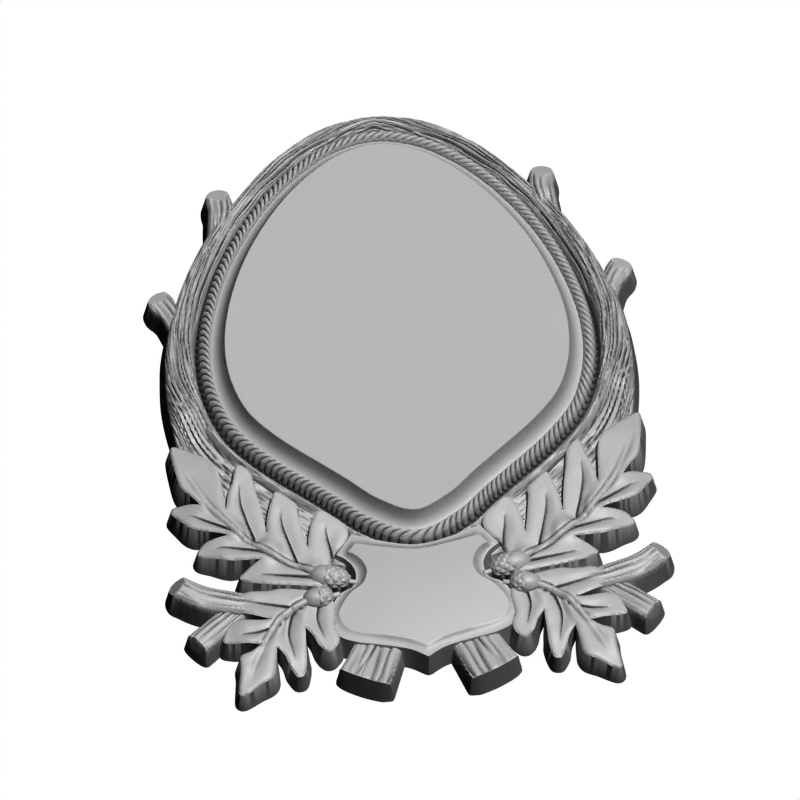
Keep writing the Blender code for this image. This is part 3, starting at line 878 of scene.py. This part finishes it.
@dataclass
class Leaf:
    """An oak leaf: one blade with round lobes, sunk veins and a raised midrib."""

    name: str
    midrib: Points
    lobes: list[Lobe]
    depth: float
    higher: LeafSide = LeafSide.RIGHT
    rib_rise: float = 2.1
    rib_half: tuple[float, float] = (2.7, 0.9)
    swell: float = 1.5
    vein_depth: float = 2.6
    vein_share: float = 0.78
    vein_wall: float = 0.6
    tip_curl: float = 0.75
    crest: float = 0.6
    root_dip: float = 0.65
    crest_fall: float = 0.3
    vein_slope: float = 1.9
    margin_drop: float = 0.7
    margin_width: float = 0.9
    groove_width: float = 0.9
    tooling: float = 0.1
    spacing: float = 1.22

    def outline(self) -> np.ndarray:
        """The joined margins of the lobes, with a corner in each notch between them."""
        points = [point for lobe in self.lobes for point in lobe.margin]
        starts = np.cumsum([0] + [len(lobe.margin) for lobe in self.lobes[:-1]])
        return smooth_line(points, 8, closed=True, corners=tuple(int(i) for i in starts))

    def build(self) -> bpy.types.Object:
        """Raise the blade over the joined margins of the lobes.

        Between a vein and the margin, t runs from 0 to 1. The blade rises from the vein to its
        highest at the crest and falls a little to a crisp margin. The vein is a crease with a steep
        wall on its higher side and a slope on the other, and the midrib a round rib between two
        grooves.
        """
        outline = self.outline()
        midrib = smooth_line(self.midrib, 8)
        veins = [smooth_line(lobe.vein, 8) for lobe in self.lobes]
        walls = []
        for vein in veins:
            creased = vein[:max(3, int(len(vein) * self.vein_share))]
            walls.append(creased + line_sides(creased)[1] * self.higher.value * self.vein_wall)

        def height(plan: np.ndarray, edge: np.ndarray) -> np.ndarray:
            """Height of the blade over plan points."""
            weights, levels = np.zeros(len(plan)), np.zeros(len(plan))
            near, reached = np.full(len(plan), 1e3), np.zeros(len(plan))
            crease = np.zeros(len(plan))
            for lobe, vein in zip(self.lobes, veins):
                distance, side, share = nearest_on(plan, vein)
                weight = (distance + 0.4) ** -4.0
                level = lobe.out[0] + (lobe.out[1] - lobe.out[0]) * share
                fall = max(lobe.out[0] - lobe.out[1], 0)
                level = level - self.tip_curl * fall * ease((share - 0.6) / 0.4)
                weights, levels = weights + weight, levels + weight * level
                reached = np.where(distance < near, share, reached)
                near = np.minimum(near, distance)
                strength = self.vein_depth * np.clip(1 - share / self.vein_share, 0, 1) ** 0.7
                is_low = side * self.higher.value < 0
                wall = np.clip(1 - distance / self.vein_wall, 0, 1)
                shape = np.where(is_low, np.exp(-distance / self.vein_slope), wall)
                crease = np.maximum(crease, strength * shape)
            t = near / (near + edge + 1e-6)
            rooted = 1 - ease((reached - 0.45) / 0.4)
            rise = 1 - self.root_dip * (1 - ease(t / self.crest)) * rooted
            fall = 1 - self.crest_fall * (np.clip(t - self.crest, 0, 1) / (1 - self.crest)) ** 2
            blade = self.swell * np.where(t < self.crest, rise, fall)
            blade = blade - self.margin_drop * (1 - np.clip(edge / self.margin_width, 0, 1)) ** 2
            distance, _, share = nearest_on(plan, midrib)
            half = self.rib_half[0] + (self.rib_half[1] - self.rib_half[0]) * share
            strength = self.rib_rise * np.clip(1 - share / 0.95, 0, 1)
            rib = strength * np.sqrt(np.maximum(1 - (distance / half) ** 2, 0))
            beside = 0.5 * strength * np.exp(-((distance - half - 0.5) / self.groove_width) ** 2)
            creases = crease * ease((distance - half) / 1.5)
            tooling = self.tooling * noise(plan[:, 0] / 9, plan[:, 1] / 9, 7)
            return levels / weights + blade - creases + rib - beside + tooling

        return relief(self.name, outline, height, self.spacing, self.depth, veins + walls + [midrib])


@dataclass
class Acorn:
    """An acorn lying on the leaves: a pointed nut, a cup with raised scales and a short stalk.

    Each path point is (x, up, radius). The middle of the nut lies at axis_out.
    """

    name: str
    nut: Points
    cup: Points
    stalk: Points
    depth: float
    axis_out: float = 21.0
    scale_size: float = 6.4
    scale_rise: float = 1.0
    scaly_steps: tuple[int, int] = (8, 45)
    smooth_steps: tuple[int, int] = (5, 25)

    def spindle(self, name: str, path: Points, scales: bool, depth: float) -> bpy.types.Object:
        """Half-round body along a path, closed at both ends, with walls down to the back.

        Its surface is the path's point plus the radius times (cosine, sine) of the angle over it.
        Scales add a lattice of diamonds in angle and length.

        Args:
            name: the object's name.
            path: (x, up, radius) points.
            scales: whether the surface has the cup's scales.
            depth: how far below the back the walls run.

        Returns:
            The closed mesh object.
        """
        per_span, angles = self.scaly_steps if scales else self.smooth_steps
        line = smooth_line(path, per_span)
        plan, radius = line[:, :2], line[:, 2]
        across = line_sides(line)[1]
        distance = line_lengths(line)
        foot = across * (radius + STOCK.spread(self.axis_out, depth))[:, None]
        mould = Mould()
        rows = [mould.add(plan + foot, -depth)]
        for angle in np.linspace(0, math.pi, angles):
            bump = np.zeros(len(line))
            if scales:
                a, s = angle * radius.max() / self.scale_size, distance / self.scale_size
                one, other = np.abs((a + s) % 1.0 - 0.5), np.abs((a - s) % 1.0 - 0.5)
                bump = self.scale_rise * (1 - 2 * np.maximum(one, other))
            size = radius + bump
            rows.append(mould.add(plan + across * (size * math.cos(angle))[:, None],
                                  self.axis_out + size * math.sin(angle)))
        rows.append(mould.add(plan - foot, -depth))
        for one, other in zip(rows, rows[1:] + rows[:1]):
            mould.strip(one, other)
        mould.cap(np.array([row[0] for row in rows]))
        mould.cap(np.array([row[-1] for row in rows]))
        return mould.make(name)

    def build(self) -> list[bpy.types.Object]:
        """Make the nut, the cup and the stalk."""
        bodies = (("nut", self.nut, False, 0.0), ("cup", self.cup, True, 0.2),
                  ("stalk", self.stalk, False, 0.4))
        return [self.spindle(f"{self.name}_{part}", path, scales, self.depth + deeper)
                for part, path, scales, deeper in bodies]


@dataclass
class Spray:
    """Everything that is carved on the right of the field and again, mirrored, on the left."""

    long_branch: Points = field(default_factory=lambda: [
        (118, -221, 9.5, 14, 22), (150, -213, 10, 15, 23.5), (166.3, -204.1, 9.6, 16, 24.5)])
    short_branch: Points = field(default_factory=lambda: [
        (130, -223, 9, 12, 19), (147, -237, 9.6, 12, 20), (159.5, -247.5, 9.8, 12.5, 20.5)])
    foot_log: Points = field(default_factory=lambda: [
        (30, -253, 16.5, 12, 17.3), (38, -270, 18, 12, 19.2), (45.5, -286, 19.5, 12.5, 20.5)])
    upper_twig: Points = field(default_factory=lambda: [
        (116, 84, 9.5, 8, 17), (114, 97, 9.4, 14, 24), (113, 105, 9.4, 14.5, 24),
        (113.3, 110, 9.6, 14.5, 23.5)])
    lower_twig: Points = field(default_factory=lambda: [
        (148, 0, 8.5, 8, 17), (151.5, 12, 8, 14, 23.5), (155.8, 23.6, 8.2, 14, 23),
        (159.8, 31, 9.8, 14.5, 22.5)])
    upper_midrib: Points = field(default_factory=lambda: [
        (68, -204), (80, -196), (100, -184), (120, -167), (135, -149), (145, -133), (155, -111),
        (160, -98)])
    lower_midrib: Points = field(default_factory=lambda: [
        (68, -221), (85, -225), (100, -235), (110, -248), (120, -266), (127, -281)])

    def limbs(self) -> list[bpy.types.Object]:
        """Make the branches, the foot log and the twigs."""
        rough = Bark(furrow_pitch=4.6, furrow_length=90, depth=1.4, swell=0.2, fibre=0.07, groove=0.25,
                     seed=21)
        grain = Bark(furrow_pitch=8.5, furrow_length=120, depth=1.4, swell=0.4, fibre=0.1, groove=0.16,
                     seed=31)
        limbs = [
            Limb("long_branch", self.long_branch, 10.0, 10.0, 4.3, bark=rough, spacing=0.92),
            Limb("short_branch", self.short_branch, 3.5, 11.0, 4.6, bark=rough, spacing=0.92),
            Limb("foot_log", self.foot_log, 3.0, 0.0, 4.9, flatness=4.0, bark=grain),
            Limb("upper_twig", self.upper_twig, 12.0, 4.2, 5.2, end_round=0.4, bark=rough, spacing=0.86),
            Limb("lower_twig", self.lower_twig, 10.5, 3.6, 5.5, end_round=0.4, bark=rough, spacing=0.86)]
        return [limb.build() for limb in limbs]

    def leaves(self) -> list[Leaf]:
        """The lower and the upper leaf."""
        upper = [
            Lobe([(138, -146), (150, -122), (157, -106), (165, -86)],
                 [(130.7, -142), (131.6, -132), (133.2, -113), (138, -102.5), (147, -94.5), (158, -87.5),
                  (163.5, -85.5), (165.5, -90), (163.7, -107), (161, -121), (155, -128.5)], (22.5, 19.6)),
            Lobe([(126, -161), (134, -157), (150, -148), (169, -138)],
                 [(148.8, -137), (158, -134.5), (166.5, -135), (169.2, -138), (168.5, -141), (164, -147),
                  (157, -155), (147, -159), (137, -162)], (23.5, 19.2)),
            Lobe([(106, -180), (120, -176.5), (137, -173), (153, -175.5)],
                 [(131.5, -164.3), (140, -165), (148, -167), (153, -172), (153.7, -175), (151.5, -177.5),
                  (144, -180), (133, -184), (121, -185.3)], (23.5, 19.2)),
            Lobe([(76, -204), (95, -200.5), (112, -198), (125, -198)],
                 [(110.5, -186.3), (119, -191), (124.5, -195.5), (126, -198), (123.5, -200.5),
                  (116, -203.8), (105, -207), (90, -209.5), (70, -212.5), (60, -207)], (23.5, 20.5)),
            Lobe([(60, -194), (60.5, -182), (62.5, -170), (64, -152)],
                 [(62.5, -196), (59.5, -187), (51.5, -178), (47.3, -170.5), (49.5, -162), (57, -155),
                  (62.5, -150.5), (65.5, -149.7), (68.5, -151), (71, -156), (73.5, -162),
                  (75.6, -172)], (19.0, 22.8)),
            Lobe([(85, -189), (90, -171), (93, -157), (93.5, -134)],
                 [(76.4, -178), (79.2, -163), (81, -150), (81, -144), (88, -136.5), (93, -132.7),
                  (96.5, -133), (99.5, -141), (102, -149), (103.5, -156)], (20.0, 23.5)),
            Lobe([(113, -168), (118, -150), (120.5, -135), (119, -109)],
                 [(104.2, -162.5), (106, -146), (109, -129), (111, -115.5), (116, -109), (119, -107.8),
                  (121.7, -110), (124.5, -120.5), (128.2, -130)], (20.0, 23.5))]
        lower = [
            Lobe([(86, -228), (100, -225), (120, -220), (136, -220.5)],
                 [(64, -219), (80, -214), (97, -211), (108, -212), (121, -211), (131, -214),
                  (136.3, -218.5), (137, -221.5), (134, -224), (123, -229), (113, -233.3)],
                 (22.5, 20.0)),
            Lobe([(102, -240), (113, -244), (125, -245.5), (139.5, -246)],
                 [(108, -235.3), (114, -235.3), (121, -234.3), (130, -233), (137.5, -236), (140.5, -243),
                  (142, -247), (141, -250), (133, -251.8), (124, -253.3)], (22.5, 19.5)),
            Lobe([(106, -242), (115, -256), (124, -277), (133, -292.5)],
                 [(116.3, -254.7), (123, -259.5), (131, -263), (132, -273), (134.5, -288), (134, -292.5),
                  (130, -293), (119, -286.5), (109, -280.5), (106.3, -268)], (21.5, 17.8)),
            Lobe([(92, -231), (96, -247), (94, -262), (91, -279.5)],
                 [(104.8, -257.5), (100, -264.5), (97, -273), (93.5, -280), (91, -281.2), (87.5, -279.5),
                  (85, -270), (84.5, -258), (83.9, -249)], (20.5, 17.4)),
            Lobe([(73, -226), (75, -238), (71.5, -253), (68.5, -262.5)],
                 [(83.8, -244), (79, -251), (76, -258), (71, -264), (68.3, -264.8), (65.5, -263),
                  (61.5, -257.5), (61, -251), (63.5, -243), (62, -228)], (21.0, 20.0))]
        return [Leaf("lower_leaf", self.lower_midrib, lower, 5.8, higher=LeafSide.LEFT),
                Leaf("upper_leaf", self.upper_midrib, upper, 6.1, higher=LeafSide.LEFT)]

    def acorns(self) -> list[bpy.types.Object]:
        """Make the large acorn and the small one under it."""
        large = Acorn("large_acorn",
                      [(60, -205.5, 8.6), (66, -204, 8.8), (70, -202.9, 8.2), (73.5, -202, 6.8),
                       (76, -201.4, 4.6), (77.4, -201, 2.4), (78, -200.9, 0.6)],
                      [(49.4, -208.3, 1.5), (50.3, -208, 3.6), (52.5, -207.5, 5.8), (55.5, -206.7, 7.4),
                       (59, -205.8, 8.3), (63, -204.8, 8.7), (65.8, -204, 8.6), (66.2, -203.9, 8)],
                      [(44.5, -210, 1.7), (47, -209.6, 1.8), (51, -208.2, 2.2)], 6.5)
        small = Acorn("small_acorn",
                      [(68, -220.3, 7.4), (73, -220.7, 7.8), (77, -221, 7.3), (80, -221.3, 6),
                       (82.2, -221.5, 4.2), (83.5, -221.6, 2.2), (84, -221.6, 0.6)],
                      [(61.8, -219.8, 1.5), (62.6, -219.9, 3.4), (64.4, -220, 5.4), (67, -220.2, 6.8),
                       (70, -220.4, 7.6), (72.4, -220.6, 7.8), (72.8, -220.7, 7.2)],
                      [(57.5, -218.3, 1.6), (59.5, -218.8, 1.8), (63, -219.8, 2.1)], 7.3)
        return large.build() + small.build()

    def build(self) -> list[bpy.types.Object]:
        """Make all shapes of the right-hand spray."""
        return self.limbs() + [leaf.build() for leaf in self.leaves()] + self.acorns()


@dataclass
class Carver:
    """Joins closed shapes into one solid; the MANIFOLD solver keeps leaves that EXACT drops."""

    solver: str = "MANIFOLD"

    def join(self, name: str, shapes: list[bpy.types.Object],
             cut: bpy.types.Object | None = None) -> bpy.types.Object:
        """Union of the shapes less the cut.

        Args:
            name: name of the joined object.
            shapes: closed mesh objects, which are removed.
            cut: closed mesh object that is cut away and removed.

        Returns:
            The joined object.
        """
        first = shapes[0]
        steps = [("UNION", shape) for shape in shapes[1:]] + ([("DIFFERENCE", cut)] if cut else [])
        for operation, shape in steps:
            joint = first.modifiers.new(shape.name, "BOOLEAN")
            joint.operation = operation
            joint.solver = self.solver
            joint.object = shape
        bpy.context.view_layer.update()
        graph = bpy.context.evaluated_depsgraph_get()
        mesh = bpy.data.meshes.new_from_object(first.evaluated_get(graph))
        mesh.name = name
        for shape in [first] + [shape for _, shape in steps]:
            bpy.data.objects.remove(shape)
        return add_object(name, mesh)

    def mirrored(self, shape: bpy.types.Object, name: str) -> bpy.types.Object:
        """A copy mirrored in x = 0, with its faces turned to point out again."""
        mesh = shape.data.copy()
        mesh.transform(Matrix.Diagonal((-1, 1, 1, 1)))
        mesh.flip_normals()
        return add_object(name, mesh)

    def back_slab(self) -> bpy.types.Object:
        """The block behind the wall plane that is cut away to leave the back flat."""
        mould = Mould()
        square = np.array([(-260, -360), (260, -360), (260, 240), (-260, 240)], float)
        front, rear = mould.add(square, 0.0), mould.add(square, -20.0)
        mould.cap(front)
        mould.cap(rear)
        mould.strip(front, rear, closed=True)
        return mould.make("behind_the_back")


def surface_values(mesh: bpy.types.Mesh, passes: int,
                   core: np.ndarray) -> tuple[np.ndarray, np.ndarray, np.ndarray]:
    """What the paint needs to know of the surface at each point; the hollowness drives the painted shade in
    the hollows.

    The points are averaged with their neighbours again and again, and how far the averaged point
    has moved out along the normal says how hollow the place is. The size of that, averaged over
    the neighbours in turn, says how rough the carving is. Edges over 4 mm count for nothing, and the
    back is left at 0.

    Args:
        mesh: the carved mesh.
        passes: how many times the points are averaged.
        core: closed plan outline of the field with its cove, which are left smooth and even.

    Returns:
        Hollowness in millimetres (positive in a hollow), roughness of the carving in millimetres,
        and how upright the surface is, from 0 on the front to 1 on a wall.
    """
    longest, most_worked, back_depth = 4 * MM, 0.5, 0.1 * MM
    count = len(mesh.vertices)
    places, normals = mesh_points(mesh), mesh_points(mesh, "normal")
    a, b = mesh_edges(mesh)
    near = np.linalg.norm(places[a] - places[b], axis=1) < longest
    a, b = a[near], b[near]
    links = np.bincount(a, minlength=count) + np.bincount(b, minlength=count) + 1
    moved = places.copy()
    for _ in range(passes):
        total = moved.copy()
        for k in range(3):
            total[:, k] += np.bincount(a, moved[b, k], count) + np.bincount(b, moved[a, k], count)
        moved = total / links[:, None]
    hollow = ((moved - places) * normals).sum(1) / MM
    worked = np.minimum(np.abs(hollow), most_worked)
    for _ in range(passes * 3):
        worked = (worked + np.bincount(a, worked[b], count) + np.bincount(b, worked[a], count)) / links
    plain = inside(places[:, [0, 2]] / MM, core)
    back = places[:, 1] > -back_depth
    upright = ease((0.75 - np.abs(normals[:, 1])) / 0.4)
    hollow[plain | back] = 0.0
    worked[plain | back] = 0.0
    upright[back] = 0.0
    return hollow, worked, upright


def mapped(tree: bpy.types.NodeTree, value: bpy.types.NodeSocket, span: tuple[float, float],
           result: tuple[float, float]) -> bpy.types.NodeSocket:
    """A value moved from one range to another and held at its ends."""
    change = tree.nodes.new("ShaderNodeMapRange")
    ends = ("From Min", "From Max", "To Min", "To Max")
    for end, number in zip(ends, span + result):
        change.inputs[end].default_value = number
    tree.links.new(value, change.inputs["Value"])
    return change.outputs["Result"]


def patterned(tree: bpy.types.NodeTree, place: bpy.types.NodeSocket, size: float,
              detail: float) -> bpy.types.NodeSocket:
    """Noise over the given coordinates, with size cells to a metre."""
    pattern = tree.nodes.new("ShaderNodeTexNoise")
    pattern.inputs["Scale"].default_value = size
    pattern.inputs["Detail"].default_value = detail
    tree.links.new(place, pattern.inputs["Vector"])
    return pattern.outputs["Fac"]


def multiplied(tree: bpy.types.NodeTree, one: bpy.types.NodeSocket,
               other: bpy.types.NodeSocket) -> bpy.types.NodeSocket:
    """The product of two values."""
    product = tree.nodes.new("ShaderNodeMath")
    product.operation = "MULTIPLY"
    tree.links.new(one, product.inputs[0])
    tree.links.new(other, product.inputs[1])
    return product.outputs["Value"]


@dataclass(frozen=True)
class PaintedWood:
    """Even satin grey paint over carved wood, with painted shade that darkens the hollows."""

    name: str = "stone_grey_paint"
    colour: tuple[float, float, float] = (0.46, 0.46, 0.46)
    roughness: float = 0.52
    specular: float = 0.5
    hollow_shade_range: tuple[float, float] = (0.03, 0.8)
    hollow_shade_tone: float = 0.4
    mottle: float = 0.006
    mottle_size: float = 38.0
    fibre_bump: float = 0.15
    wall_bump: float = 0.5
    bump_distance: float = 0.0008

    def material(self) -> bpy.types.Material:
        """Build the node material."""
        paint = bpy.data.materials.new(self.name)
        paint.use_nodes = True
        tree = paint.node_tree
        nodes, link = tree.nodes, tree.links.new
        shader = nodes["Principled BSDF"]
        shader.inputs["Roughness"].default_value = self.roughness
        shader.inputs["Specular IOR Level"].default_value = self.specular
        place = nodes.new("ShaderNodeTexCoord").outputs["Object"]
        hollow = nodes.new("ShaderNodeAttribute")
        hollow.attribute_name = "hollow"
        # painted shade: the grey is darkened in hollows and creases to stand in for the shade that falls
        # there
        depth = mapped(tree, hollow.outputs["Fac"], self.hollow_shade_range, (1.0, self.hollow_shade_tone))
        mottle = patterned(tree, place, self.mottle_size, 4)
        spots = mapped(tree, mottle, (0.3, 0.7), (1 - self.mottle, 1 + self.mottle))
        tone = nodes.new("ShaderNodeVectorMath")
        tone.operation = "SCALE"
        tone.inputs[0].default_value = self.colour
        link(multiplied(tree, depth, spots), tone.inputs["Scale"])
        link(tone.outputs["Vector"], shader.inputs["Base Color"])
        link(self.bumps(tree, place), shader.inputs["Normal"])
        return paint

    def bumps(self, tree: bpy.types.NodeTree, place: bpy.types.NodeSocket) -> bpy.types.NodeSocket:
        """Fine fibres where the carving is rough, and tool marks that run down the walls.

        Args:
            tree: the material's nodes.
            place: the object coordinates.

        Returns:
            The normal output.
        """
        nodes, link = tree.nodes, tree.links.new
        normal = None
        for mask, scale, size, span, strength in (
                ("worked", (1, 1, 1), 620, (0.05, 0.14), self.fibre_bump),
                ("upright", (1, 0, 1), 420, (0.3, 1.0), self.wall_bump)):
            stretch = nodes.new("ShaderNodeMapping")
            stretch.inputs["Scale"].default_value = scale
            link(place, stretch.inputs["Vector"])
            pattern = patterned(tree, stretch.outputs["Vector"], size, 3)
            where = nodes.new("ShaderNodeAttribute")
            where.attribute_name = mask
            share = mapped(tree, where.outputs["Fac"], span, (0.0, 1.0))
            bump = nodes.new("ShaderNodeBump")
            bump.inputs["Strength"].default_value = strength
            bump.inputs["Distance"].default_value = self.bump_distance
            link(multiplied(tree, pattern, share), bump.inputs["Height"])
            if normal:
                link(normal, bump.inputs["Normal"])
            normal = bump.outputs["Normal"]
        return normal


@dataclass
class Studio:
    """Camera at the photograph's angle, a key and a rear light, a weak fill and a pale floor."""

    tilt: float = 32.0
    turn: float = 5.06
    width: float = 0.56
    centre: tuple[float, float] = (4.13, -42.0)
    distance: float = 0.77
    key: tuple[float, float, float] = (0.21, -0.975, -0.07)
    key_strength: float = 4.62
    rear: tuple[float, float, float] = (0.0, 1.0, 0.0)
    rear_strength: float = 3.0
    softness: float = 3.0
    fill: float = 0.06
    contrast: float = 0.47
    floor_level: float = -0.75
    floor_size: float = 6.0
    floor_tone: float = 0.92

    def camera(self) -> None:
        """Place the camera: its axes are the plaque's, turned in its plane and tilted back."""
        tilt, turn = math.radians(self.tilt), math.radians(self.turn)
        right = Vector((math.cos(turn), 0, -math.sin(turn)))
        up = Vector((math.sin(turn) * math.cos(tilt), -math.sin(tilt), math.cos(turn) * math.cos(tilt)))
        towards = right.cross(up)
        place = (right * self.centre[0] + up * self.centre[1]) * MM + towards * self.distance
        lens = bpy.data.cameras.new("camera")
        lens.type = "ORTHO"
        lens.ortho_scale = self.width
        camera = add_object("camera", lens)
        camera.matrix_world = Matrix.Translation(place) @ Matrix((right, up, towards)).transposed().to_4x4()
        bpy.context.scene.camera = camera

    @staticmethod
    def split(tree: bpy.types.NodeTree, unseen: bpy.types.NodeSocket, seen: bpy.types.NodeSocket,
              output: bpy.types.Node) -> None:
        """Show the camera one shader and all other light another.

        Args:
            tree: the nodes of the material or the world.
            unseen: shader for all rays that don't come from the camera.
            seen: shader for the camera's rays.
            output: the output node.
        """
        ray, mix = tree.nodes.new("ShaderNodeLightPath"), tree.nodes.new("ShaderNodeMixShader")
        tree.links.new(ray.outputs["Is Camera Ray"], mix.inputs["Fac"])
        tree.links.new(unseen, mix.inputs[1])
        tree.links.new(seen, mix.inputs[2])
        tree.links.new(mix.outputs["Shader"], output.inputs["Surface"])

    def lights(self) -> None:
        """A key, a rear light and an even fill; the camera sees a white surround."""
        for name, direction, strength in (("key", self.key, self.key_strength),
                                          ("rear", self.rear, self.rear_strength)):
            sun = bpy.data.lights.new(name, "SUN")
            sun.energy = strength
            sun.angle = math.radians(self.softness)
            lamp = add_object(name, sun)
            lamp.rotation_mode = "QUATERNION"
            lamp.rotation_quaternion = (-Vector(direction)).to_track_quat("-Z", "Y")
        world = bpy.data.worlds.new("surround")
        bpy.context.scene.world = world
        world.use_nodes = True
        nodes = world.node_tree.nodes
        nodes.clear()
        seen, fill = nodes.new("ShaderNodeBackground"), nodes.new("ShaderNodeBackground")
        seen.inputs["Color"].default_value = (1, 1, 1, 1)
        fill.inputs["Strength"].default_value = self.fill
        output = nodes.new("ShaderNodeOutputWorld")
        self.split(world.node_tree, fill.outputs["Background"], seen.outputs["Background"], output)
        bpy.context.scene.view_settings.view_transform = "Standard"
        bpy.context.scene.view_settings.gamma = self.contrast

    def floor(self) -> None:
        """A plain pale floor below the plaque: even as the camera sees it, matt for other light."""
        bpy.ops.mesh.primitive_grid_add(x_subdivisions=2, y_subdivisions=2, size=self.floor_size,
                                        location=(0, 0, self.floor_level))
        floor = bpy.context.object
        floor.name = "floor"
        matt = bpy.data.materials.new("floor_matt")
        matt.use_nodes = True
        tree = matt.node_tree
        shader, output = tree.nodes["Principled BSDF"], tree.nodes["Material Output"]
        shader.inputs["Base Color"].default_value = (0.75, 0.75, 0.74, 1)
        shader.inputs["Roughness"].default_value = 0.9
        glow = tree.nodes.new("ShaderNodeEmission")
        glow.inputs["Color"].default_value = (self.floor_tone, self.floor_tone, self.floor_tone, 1)
        self.split(tree, shader.outputs["BSDF"], glow.outputs["Emission"], output)
        floor.data.materials.append(matt)

    def build(self) -> None:
        """Set up camera, lights and floor."""
        self.camera()
        self.lights()
        self.floor()


def keep_largest_body(mesh: bpy.types.Mesh) -> None:
    """Take out the specks and sealed slits that the joins leave between the shapes."""
    label = linked_groups(len(mesh.vertices), *mesh_edges(mesh))
    specks = np.flatnonzero(label != np.bincount(label).argmax())
    solid = bmesh.new()
    solid.from_mesh(mesh)
    solid.verts.ensure_lookup_table()
    bmesh.ops.delete(solid, geom=[solid.verts[k] for k in specks], context="VERTS")
    solid.to_mesh(mesh)
    solid.free()
    LOG.info("specks: %d points taken out", len(specks))


def fit_box(mesh: bpy.types.Mesh) -> None:
    """Hold every point inside the CAD model's box."""
    places = mesh_points(mesh)
    low, high = np.array(CAD_BOX[0]), np.array(CAD_BOX[1])
    LOG.info("before the box: %s to %s, box %s to %s", places.min(0), places.max(0), low, high)
    mesh.vertices.foreach_set("co", np.clip(places, low, high).ravel())
    mesh.update()


def painted(mesh: bpy.types.Mesh, core: np.ndarray) -> None:
    """Give the mesh its paint, its smooth shading and the values that the paint reads."""
    mesh.materials.clear()
    mesh.materials.append(PaintedWood().material())
    mesh.polygons.foreach_set("use_smooth", np.ones(len(mesh.polygons), bool))
    mesh.set_sharp_from_angle(angle=math.radians(35))
    # the hollow values darken the paint in hollows and creases as painted shade
    for name, values in zip(("hollow", "worked", "upright"), surface_values(mesh, 4, core)):
        mesh.attributes.new(name, "FLOAT", "POINT").data.foreach_set("value", values.astype(np.float32))


def main() -> None:
    """Build the studio and the plaque, in order."""
    logging.basicConfig(level=logging.INFO, format="%(name)s: %(message)s")
    Studio().build()
    LOG.info("studio: built")
    carver, spray, board = Carver(), Spray(), Board()
    outlines = [leaf.outline() * side for leaf in spray.leaves() for side in ((1, 1), (-1, 1))]
    right = carver.join("right_spray", spray.build())
    LOG.info("right spray: %d faces", len(right.data.polygons))
    left = carver.mirrored(right, "left_spray")
    panel = board.build(outlines)
    LOG.info("board: %d faces", len(panel.data.polygons))
    shield = Shield().build()
    LOG.info("shield: %d faces", len(shield.data.polygons))
    plaque = carver.join("carved_board", [panel, shield, right, left], carver.back_slab())
    keep_largest_body(plaque.data)
    fit_box(plaque.data)
    painted(plaque.data, board.core())
    LOG.info("plaque: %d faces", len(plaque.data.polygons))
    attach(plaque, "root")
    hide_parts("carved_plaque")


if __name__ == "__main__":
    main()
